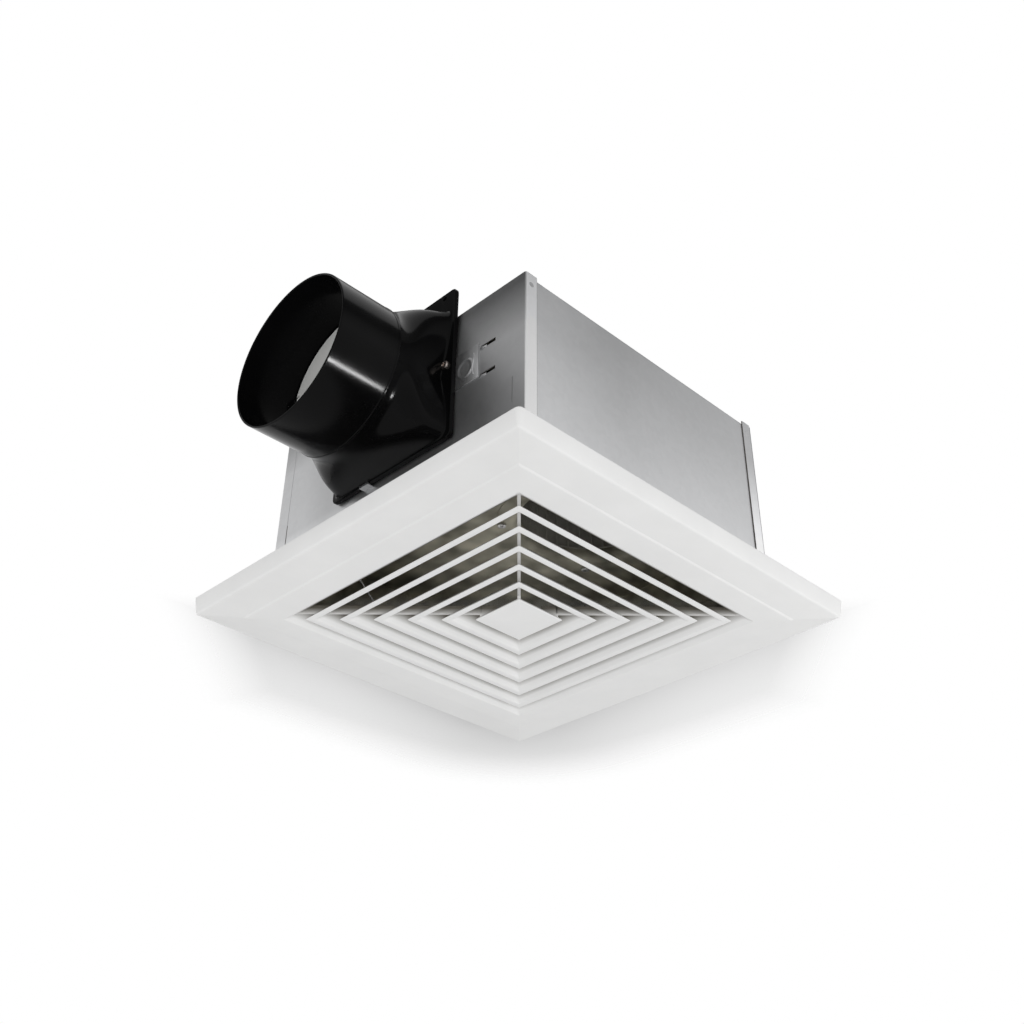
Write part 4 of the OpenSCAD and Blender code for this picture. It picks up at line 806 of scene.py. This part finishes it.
# spot welds: shallow dished rings on the corner flanges and along the top seam
weld = [(0, 0.02), (1.0, 0.02), (1.5, 0.07), (1.8, 0.09), (2.0, 0.06), (2.2, 0), (2.2, -0.3), (0, -0.3)]


def spotWelds(h):
    places = [((p * (h["endX"] - h["flangeInset"]), q * h["sideY"], z), (0, q, 0))
              for p, q in signPairs for z in h["weldZ"]]
    return placed("spotWelds", turned(weld, (0, 0, 0), "z", 24, False), places, palette["galvanised_sheet"])


dress(spotWelds(housing), palette["galvanised_sheet"], "housing")
print("fasteners and welds made")

# corner strips on the end panels, the dark sheared edges of the corner flanges, partly their bare-edge colour and
# partly painted shade of the step, and a dark strip of painted shade for the slit beside one strip
edges = {"flange": 11.0, "thick": 0.8, "wide": 0.35}
strips = {"y": 125.5, "end": 137.6, "proud": 0.16, "farZ": (8.0, 62.0), "slit": 0.5}


def cornerStrips(h, v):
    parts = []
    for side, hand in signPairs:
        x0, x1 = sorted((side * (h["endX"] - 0.1), side * (h["endX"] + v["proud"])))
        y0, y1 = sorted((hand * v["y"], hand * v["end"]))
        parts.append(roundBox((x0, y0, 1.0), (x1, y1, h["height"] - 0.8), 0.07, 1))
    return makeObject("cornerStrips", *gather(parts))


def sheetEdges(h, v):
    parts = []
    for sideX, sideY in signPairs:
        x = sideX * (h["endX"] - v["flange"])
        x0, x1 = sorted((x - sideX * v["wide"], x + sideX * 0.05))
        y0, y1 = sorted((sideY * (h["sideY"] - v["thick"]), sideY * (h["sideY"] - 0.05)))
        parts.append(roundBox((x0, y0, 0.5), (x1, y1, h["height"] - 0.4), 0.1, 1))
    return makeObject("sheetEdges", *gather(parts))


# painted shade: a dark strip standing proud of the end panel where the slit is
def farSlit(h, v):
    x, (z0, z1) = -h["endX"] - 0.2, v["farZ"]
    return makeObject("farSlit", *roundBox((x, v["y"] - v["slit"], z0), (x + 0.4, v["y"], z1), 0.1, 1))


dress(cornerStrips(housing, strips), zincPaintedLightAndShade, "housing")
# bare cut-edge colour darkened with painted shade, also used as painted shade for the slit
darkEdgeAndSlitShade = plastic("shearedEdgeAndSlitShade", (0.05, 0.045, 0.04), (0.11, 0.10, 0.09), (0.5, 0.7), 1500.0, 300.0)
dress(sheetEdges(housing, edges), darkEdgeAndSlitShade, "housing")
dress(farSlit(housing, strips), darkEdgeAndSlitShade, "housing")

# wiring cover: stamped sheet with a pressed ring, a curled tongue and bent tabs at the slots
cover = {"faceX": -133.3, "backX": -132.5, "y0": -91.0, "y1": -66.0, "z0": 91.0, "z1": 122.0, "ringY": -77.6,
         "ringZ": 105.5, "ringR": 8.6, "ringWide": 3.0, "ringHigh": 0.6, "dish": 0.15, "sunk": -0.4,
         "tongueY": -86.5, "tongueHalf": 9.0, "tongueR": 0.6, "tongueOut": 0.5, "tongueWave": 0.8,
         "tabY": (-99.5, -92.5), "tabZ": (90.9, 116.4), "tabDrop": 1.8, "tabOut": 1.0, "tabIn": 0.05}


def coverPlate(v):
    r, wide, high, dish = v["ringR"], v["ringWide"], v["ringHigh"], v["dish"]
    ring = [(0, v["sunk"]), (0, dish), (r - 2.2 * wide, dish), (r - 1.4 * wide, 0.3), (r - wide, 0.35 * high),
            (r - 0.55 * wide, high), (r - 0.25 * wide, high), (r, 0.3 * high), (r + 0.3 * wide, 0),
            (r + 0.3 * wide, v["sunk"])]
    tongue = []
    for k in range(7):
        t = k / 6
        tongue.append((v["faceX"] - v["tongueOut"] * sin(pi * t), v["tongueY"] + v["tongueWave"] * sin(2 * pi * t),
                       v["ringZ"] + v["tongueHalf"] * (2 * t - 1)))
    return gather([roundBox((v["faceX"], v["y0"], v["z0"]), (v["backX"], v["y1"], v["z1"]), 0.5, 2),
                   turned([(a, -h) for a, h in ring], (v["faceX"], v["ringY"], v["ringZ"]), "x", 48, False),
                   swept(smoothed(tongue), v["tongueR"])])


def slotTabs(v):
    tabs = []
    x, drop, far, (y0, y1) = v["backX"], v["tabDrop"], v["tabOut"], v["tabY"]
    for top in v["tabZ"]:
        loops = []
        for y, out in ((y0, 0.15), (y0 + 2.0, 0.45 * far), (y1 - 2.5, far), (y1, 0.35 * far)):
            loops.append([(x - v["tabIn"], y, top), (x - out - 0.25, y, top - 0.35 * drop),
                          (x - 0.6 * out - 0.1, y, top - drop), (x - v["tabIn"], y, top - 1.1 * drop)])
        tabs.append(capped(loops))
    return makeObject("slotTabs", *gather(tabs), angle=30)


piece("wiring_cover", coverPlate(cover), angle=38, finish=zincPaintedLightAndShade)
dress(slotTabs(cover), zincPaintedLightAndShade, "housing")

# springs: three close turns each, the outer two ending in legs that reach through the brackets
springs = {"y": 130.0, "z": -5.5, "coilR": 5.0, "wireR": 0.98, "sides": 14, "pitch": 2.0, "creep": 0.5,
           "legAngle": 48.0, "leg": 78.0, "hook": 7.0, "elbow": 3.0, "stations": (10, 30, 50)}


def tilt(p, angle):
    c, s = cos(radians(angle)), sin(radians(angle))
    return p[0] * c + p[2] * s, p[1], -p[0] * s + p[2] * c


def springCoil(v, facing):
    path = []
    for k in range(37):
        x, z = polar(v["coilR"], radians(10 * k - 90))
        path.append((x * facing, ((k / 36 - 0.5) * v["creep"] - v["y"]) * facing, z + v["z"]))
    return swept(path, v["wireR"], v["sides"])


def springLeg(v, side, facing):
    path = []
    for k in range(34):
        x, z = polar(v["coilR"], radians(10 * k - 330))
        path.append((-side * x, 0, z))
    straight = v["leg"] - v["elbow"]
    path += [(-side * v["coilR"], 0, z) for z in (*v["stations"], straight)]
    bend = v["elbow"] / tan(radians(90 - v["legAngle"] / 2))
    for k in range(1, 6):
        a = radians(v["legAngle"] * k / 5)
        path.append((-side * v["coilR"] + side * bend * (1 - cos(a)), 0, straight + bend * sin(a) + 0.4 * k))
    tip = tilt((0, 0, v["hook"] - v["elbow"]), side * v["legAngle"])
    path.append((path[-1][0] + tip[0], 0, path[-1][2] + tip[2]))
    made = []
    for x, y, z in (tilt(p, side * v["legAngle"]) for p in path):
        made.append((x * facing, (y - (v["y"] + side * v["pitch"])) * facing, z + v["z"]))
    return swept(made, v["wireR"], v["sides"])


for where, facing in (("front", 1), ("rear", -1)):
    piece(where + "_spring_coil", springCoil(springs, facing))
    for side, hand in ((-1, "left"), (1, "right")):
        piece(where + "_spring_" + hand + "_leg", springLeg(springs, side, facing))
print("springs made")


# blower wheel: a ring of forward-curved blades between the end ring and the back plate
def bladeShape(v, steps=6):
    rows = []
    for u, side in [(k / steps, 1) for k in range(steps + 1)] + [(k / steps, -1) for k in range(steps, -1, -1)]:
        r = v["innerR"] + 0.3 + u * (v["r"] - v["innerR"] - 0.6)
        rows.append(polar(r, radians(v["sweep"]) * u * u + side * v["sheet"] / 2 / r))
    return capped([[(x, y, z) for x, y in rows] for z in (v["bladeZ"], v["bladeZ"] + v["bladeH"])])


def bladeTree():
    tree, source, copies = copyingTree("bladeRing", (("Blade", "Geometry"), ("Count", "Int"), ("Finish", "Material")))
    line = node(tree, "GeometryNodeMeshLine", Count=source["Count"], Offset=(0, 0, 0))
    share = math2(tree, "DIVIDE", node(tree, "GeometryNodeInputIndex").outputs["Index"], source["Count"])
    spin = node(tree, "ShaderNodeCombineXYZ", Z=math2(tree, "MULTIPLY", share, 2 * pi))
    feed(tree, copies["Points"], line.outputs["Mesh"])
    feed(tree, copies["Instance"], source["Blade"])
    feed(tree, copies["Rotation"], spin.outputs["Vector"])
    return tree


def wheelBlades(v):
    obj = makeObject("wheelBlades", *bladeShape(v))
    runTree(obj, bladeTree(), Count=v["blades"], Finish=palette["wheel_sheet"])
    obj.data.transform(Matrix.Translation((v["x"] * mm, v["y"] * mm, 0)))
    return obj


def backPlate(v):
    t, back, dish, hubLow = v["backT"], v["backZ"], v["dishZ"], v["dishZ"] - v["hubH"]
    return filletPath([
        (v["bore"], hubLow), (v["hubR"], hubLow), (v["hubR"], dish), (v["dishR"] - 0.6, dish),
        (v["innerR"] - t, back), (v["r"], back), (v["r"], back + t), (v["innerR"] - 1.6 * t, back + t),
        (v["dishR"] - 1.6, dish + t), (v["bore"], dish + t)], [0.4, 0.6, 1.2, 4.0, 3.0, 0.3, 0.3, 3.6, 4.6, 0.3], 5)


def endRing(v):
    low, high = v["ringZ"], v["ringZ"] + v["ringT"]
    return filletPath([(v["innerR"], low), (v["r"], low), (v["r"], high), (v["innerR"], high)], [0.8, 0.9, 0.5, 0.8])


def inletBell(v):
    lip, sheet = v["lipR"], v["sheet"]
    middle, turns = v["inletR"] + lip, [radians(15 * k) for k in range(7)]
    rim, end = middle + v["inletFlange"], lip + v["inletReach"]
    bell = [(rim, 0), (rim, sheet)]
    bell += [(middle - (lip - sheet) * sin(a), lip - (lip - sheet) * cos(a)) for a in turns]
    bell += [(v["inletR"] + sheet, end), (v["inletR"], end)]
    return bell + [(middle - lip * sin(a), lip - lip * cos(a)) for a in reversed(turns)]


def hubNut(v):
    low, high, soft = v["dishZ"] - v["hubH"] - v["nutH"], v["nutH"], 0.8
    outline = [(v["nutR"] - soft, 0), (v["nutR"], 0.5), (v["nutR"], high - 0.5), (v["nutR"] - soft, high),
               (v["bore"], high), (v["bore"], 0)]
    return joinLoops([ringLoop(r, low + z, 6, v["x"], v["y"]) for r, z in outline])


def aroundShaft(profile, z=0, steps=96):
    return turned(profile, (wheel["x"], wheel["y"], z), "z", steps)


standFor(wheelBlades(wheel), "impeller_blades")
piece("impeller_backplate", aroundShaft(backPlate(wheel)), "wheelBackPlate")
piece("impeller_ring", aroundShaft(endRing(wheel)), "wheelEndRing")
piece("inlet_ring", aroundShaft(inletBell(wheel), wheel["inletZ"]), "inletBell", 40, zincPaintedLightAndShade)
piece("hub_nut", hubNut(wheel), angle=20)
print("blower wheel made")

# small fittings: cable bushing, lead and its grommets, capacitor, terminal block and bearings
fittings = {
    "bushing": [(8.0, -8.0), (10.9, -8.0), (10.9, 0), (13.5, 0), (13.5, 2.4), (8.0, 2.4)],
    "bushingRadii": [0.6, 0.5, 0.2, 0.7, 0.9, 0.8], "bushingAt": (-111.7, -100.0, 160.4),
    "grommet": [(3.2, -1.2), (6.0, -1.2), (6.0, 0), (4.8, 0), (4.8, 0.8), (6.0, 0.8), (6.0, 2.0), (3.2, 2.0)],
    "grommetRadii": [0.5, 0.5, 0.4, 0.1, 0.1, 0.4, 0.5, 0.5],
    "grommetAt": (((6.0, -40.0, 152.8), "z"), ((-92.5, -92.0, 140.0), "x")),
    "leadR": 1.8,
    "leadRoute": [(6, -40, 148.1), (6, -40, 152.8), (6, -40, 155.4), (5, -40.3, 156.7), (1, -41.7, 157.2),
                  (-14, -46, 157.2), (-34, -53, 157.2), (-52, -62, 157.0), (-68, -74, 154.3), (-78, -84, 148.8),
                  (-85, -90, 143.8), (-87.2, -92, 140), (-100.7, -92, 140)],
    "capacitor": (((-20, 82.2, 56.8), (28, 102.2, 85.0), 3.0, 4),
                  ((-19.3, 82.9, 84.2), (27.3, 101.5, 86.8), 1.2, 2)),
    "block": ((-106.5, -112, 82), (-92.5, -100, 118)), "barriers": 4, "barrierX": (-107.4, -105.5),
    "barrierZ": (81.4, 82.6), "barrierPitch": 12,
    "bearing": [(4.05, 0), (7.0, 0), (7.0, 0.5), (8.6, 0.5), (8.6, 0), (11, 0), (11, 6.95), (8.6, 6.95),
                (8.6, 6.45), (7.0, 6.45), (7.0, 6.95), (4.05, 6.95)],
    "bearingRadii": [0.4, 0.2, 0.1, 0.1, 0.2, 0.5, 0.5, 0.2, 0.1, 0.1, 0.2, 0.4],
    "bearingZ": {"upper_bearing": 140.8, "lower_bearing": 108.85},
}


def terminalBlock(v):
    (low, high), (x0, x1), (z0, z1) = v["block"], v["barrierX"], v["barrierZ"]
    parts = [roundBox(low, high, 0.8)]
    for k in range(v["barriers"]):
        rise = v["barrierPitch"] * k
        parts.append(roundBox((x0, low[1], z0 + rise), (x1, high[1], z1 + rise), 0.3, 1))
    return gather(parts)


def smallFittings(v):
    piece("cable_bushing", turned(filletPath(v["bushing"], v["bushingRadii"]), v["bushingAt"], "z", 48))
    grommet = filletPath(v["grommet"], v["grommetRadii"], 3)
    piece("lead_grommets", gather([turned(grommet, place, axis, 32) for place, axis in v["grommetAt"]]))
    piece("motor_lead", swept(smoothed(v["leadRoute"]), v["leadR"], 16))
    piece("capacitor", gather([roundBox(*box) for box in v["capacitor"]]), "capacitorBody")
    piece("terminal_block", terminalBlock(v))
    bearing = filletPath(v["bearing"], v["bearingRadii"], 3)
    for stand, z in v["bearingZ"].items():
        piece(stand, aroundShaft(bearing, z, 48))


smallFittings(fittings)
print("fittings made")

# camera: a portable camera below the near corner, with the lens shifted as the photograph is framed
# (metres and degrees; pixels for the lens)
view = {
    "azimuth": -45.59, "elevation": -35.45, "roll": -0.04, "distance": 0.98143,
    "sideways": 0.01210, "upwards": 0.12188, "focal": 1288.5, "centre": (535.0, 440.0), "size": 1024.0,
}


def standing(right, up, back, place):
    return Matrix([(right[k], up[k], back[k], place[k]) for k in range(3)] + [(0, 0, 0, 1)])


def makeCamera(v):
    a, e, r = (radians(v[k]) for k in ("azimuth", "elevation", "roll"))
    back = Vector((sin(a) * cos(e), -cos(a) * cos(e), sin(e)))
    level = Vector((cos(a), sin(a), 0))
    over = back.cross(level)
    right, up = level * cos(r) + over * sin(r), over * cos(r) - level * sin(r)
    data = bpy.data.cameras.new("camera")
    data.sensor_width = 36.0
    data.lens = v["focal"] / v["size"] * data.sensor_width
    data.shift_x = (v["size"] / 2 - v["centre"][0]) / v["size"]
    data.shift_y = (v["centre"][1] - v["size"] / 2) / v["size"]
    data.clip_start, data.clip_end = 0.01, 50
    made = addObject("camera", data)
    place = back * v["distance"] + right * v["sideways"] + up * v["upwards"]
    made.matrix_world = standing(right, up, back, place)
    return made


scene = bpy.context.scene
scene.camera = makeCamera(view)
scene.view_settings.view_transform = "Standard"


# world: soft grey light on the object, and plain white for what the camera, metal and glass see
studio = {"below": (0.585, 0.585, 0.585), "above": (0.40, 0.40, 0.41), "from": 0.1, "to": 0.9, "seen": 1.0}


def makeWorld(v):
    scene.world = bpy.data.worlds.new("world")
    scene.world.use_nodes = True
    tree = scene.world.node_tree
    height = splitAxes(tree, node(tree, "ShaderNodeTexCoord").outputs["Generated"])["Z"]
    plain = tree.nodes["Background"]
    tone = blendColor(tree, spread(tree, height, 0, 1, v["from"], v["to"]), v["below"], v["above"])
    feed(tree, plain.inputs["Color"], tone)
    white = node(tree, "ShaderNodeBackground", Color=(v["seen"],) * 3 + (1,), Strength=1.0)
    rays = node(tree, "ShaderNodeLightPath").outputs
    mask = math2(tree, "MAXIMUM", rays["Is Glossy Ray"], rays["Is Transmission Ray"])
    mask = math2(tree, "MAXIMUM", rays["Is Camera Ray"], mask)
    pick = node(tree, "ShaderNodeMixShader", mask, plain.outputs["Background"], white.outputs["Background"])
    feed(tree, tree.nodes["World Output"].inputs["Surface"], pick.outputs["Shader"])


makeWorld(studio)


# stage helpers: a material with no shader of its own, and an object that some rays pass
def bareMaterial(obj):
    material = bpy.data.materials.new(obj.name + "Finish")
    material.use_nodes = True
    tree = material.node_tree
    tree.nodes.remove(tree.nodes["Principled BSDF"])
    obj.data.materials.append(material)
    return tree


def showStage(obj, tree, shown, *passed):
    feed(tree, tree.nodes["Material Output"].inputs["Surface"], shown.outputs[0])
    for kind in passed:
        setattr(obj, "visible_" + kind, False)


# grey cards round the set, in metres: only reflections see them, and they give the metal its gradients
cards = {"radius": 2.4, "low": -1.2, "high": 4.0, "turnToDark": 180.0, "dark": 0.88, "light": 1.0, "half": 0.55,
         "fallFrom": 1.15, "fallTo": 2.5, "topDark": 0.15, "steps": 48}


def makeCards(v):
    loops = [ringLoop(v["radius"] / mm, z / mm, v["steps"]) for z in (v["low"], v["high"])]
    verts, faces = joinLoops(loops, closed=False)
    ring = makeObject("cardRing", verts, [face[::-1] for face in faces])
    tree = bareMaterial(ring)
    axes = splitAxes(tree, coordinates(tree))
    x, y = polar(1 / v["radius"], radians(v["turnToDark"]))
    along = math2(tree, "ADD", math2(tree, "MULTIPLY", axes["X"], x), math2(tree, "MULTIPLY", axes["Y"], y))
    level = spread(tree, along, v["light"], v["dark"], -v["half"], v["half"])
    fall = spread(tree, axes["Z"], 1.0, v["topDark"], v["fallFrom"], v["fallTo"])
    glow = node(tree, "ShaderNodeEmission", Strength=math2(tree, "MULTIPLY", level, fall))
    showStage(ring, tree, glow, "camera", "diffuse", "shadow", "transmission", "volume_scatter")


makeCards(cards)

# ceiling board behind the far half of the grille: it carries the grille's soft shade, real shadow from the lamps
# deepened by painted shade in its colour near the grille
board = {"z": 4.0, "reach": 1500.0, "tone": 0.955, "fadeFrom": -5.0, "fadeTo": 115.0, "round": 150.0,
         "shade": 0.76, "shadeFrom": 165.0, "shadeTo": 305.0, "clearFrom": 245.0, "clearTo": 345.0,
         "cornerFrom": 60.0, "cornerTo": 220.0, "cornerClear": 0.20,
         "endFrom": 265.0, "endTo": 400.0}


def makeBoard(v):
    r, z = v["reach"], v["z"]
    half = makeObject("ceilingBoard", [(-r, r, z), (r, r, z), (r, -r, z)], [(0, 1, 2)])
    if half.data.polygons[0].normal.z > 0:
        half.data.flip_normals()
    tree = bareMaterial(half)
    axes = splitAxes(tree, coordinates(tree))
    squares = []
    for axis in ("X", "Y"):
        past = math2(tree, "SUBTRACT", math2(tree, "ABSOLUTE", axes[axis]), v["round"] * mm)
        squares.append(math2(tree, "POWER", math2(tree, "MAXIMUM", past, 0.0), 2.0))
    apart = math2(tree, "POWER", math2(tree, "ADD", *squares), 0.5)
    reach = math2(tree, "ADD", apart, v["round"] * mm)
    between = math2(tree, "ABSOLUTE", math2(tree, "SUBTRACT", axes["X"], axes["Y"]))
    hidden = node(tree, "ShaderNodeNewGeometry").outputs["Backfacing"]
    for clear in (
        smoothStep(tree, math2(tree, "ADD", axes["X"], axes["Y"]), 1.0, 0.0, v["fadeFrom"], v["fadeTo"]),
        smoothStep(tree, reach, 0.0, 1.0, v["clearFrom"], v["clearTo"]),
        spread(tree, between, 0.0, v["cornerClear"], v["cornerFrom"] * mm, v["cornerTo"] * mm),
        smoothStep(tree, between, 0.0, 1.0, v["endFrom"], v["endTo"]),
    ):
        hidden = math2(tree, "MAXIMUM", hidden, clear)
    # painted shade: the board's grey darkens towards the grille
    shaded = smoothStep(tree, reach, v["shade"], 1.0, v["shadeFrom"], v["shadeTo"])
    shaded = math2(tree, "MULTIPLY", shaded, v["tone"])
    grey = node(tree, "ShaderNodeCombineColor", shaded, shaded, shaded).outputs["Color"]
    matt, clear = node(tree, "ShaderNodeBsdfDiffuse", Color=grey), node(tree, "ShaderNodeBsdfTransparent")
    mix = node(tree, "ShaderNodeMixShader", hidden, matt.outputs["BSDF"], clear.outputs["BSDF"])
    showStage(half, tree, mix, "diffuse", "glossy", "shadow", "transmission")


makeBoard(board)

# lamps, in metres
lamps = {
    "keyLight": {"place": (-1.70, -2.05, -1.38), "target": (0, 0, 0), "along": (1, -0.8, 0), "size": (1.4, 1.4),
                 "power": 32.5},
    "fillLight": {"place": (0.70, -0.70, -0.40), "target": (0.12, -0.12, -0.02), "along": (1, 1, 0),
                  "size": (0.35, 0.35), "power": 2.2},
    "leftLight": {"place": (-0.80, 0.62, -0.42), "target": (-0.12, 0.12, -0.02), "along": (1, 1, 0),
                  "size": (0.35, 0.35), "power": 1.1},
}


# Right, up and back of a lamp or card that stands at its place and faces its target
def aimed(v):
    back = (Vector(v["place"]) - Vector(v["target"])).normalized()
    across = Vector(v["along"])
    across = (across - back * across.dot(back)).normalized()
    return across, back.cross(across), back


def areaLight(name, v):
    data = bpy.data.lights.new(name, "AREA")
    data.shape, (data.size, data.size_y), data.energy = "RECTANGLE", v["size"], v["power"]
    lamp = addObject(name, data)
    lamp.matrix_world = standing(*aimed(v), v["place"])
    lamp.visible_glossy = lamp.visible_camera = False


for lampName, lampValues in lamps.items():
    areaLight(lampName, lampValues)

# narrow bright card, in millimetres, that only the duct adapter reflects: the long streak on its collar
glint = {"place": (571.0, -1328.0, -739.0), "target": (-209.0, -51.0, 70.0), "along": (1, 0, 0),
         "left": -380.0, "right": 72.0, "low": 62.0, "high": 142.0, "strength": 210.0}


def makeGlint(v):
    middle, (across, upright) = Vector(v["place"]), aimed(v)[:2]
    corners = []
    for a, b in (("left", "low"), ("left", "high"), ("right", "high"), ("right", "low")):
        corners.append(tuple(middle + across * v[a] + upright * v[b]))
    card = makeObject("glintCard", corners, [(0, 1, 2, 3)])
    lit = bpy.data.collections.new("adapterOnly")
    lit.objects.link(adapterShell)
    card.light_linking.receiver_collection = lit
    tree = bareMaterial(card)
    glow = node(tree, "ShaderNodeEmission", Strength=v["strength"])
    showStage(card, tree, glow, "camera", "diffuse", "shadow", "transmission")


makeGlint(glint)
print("stage made")
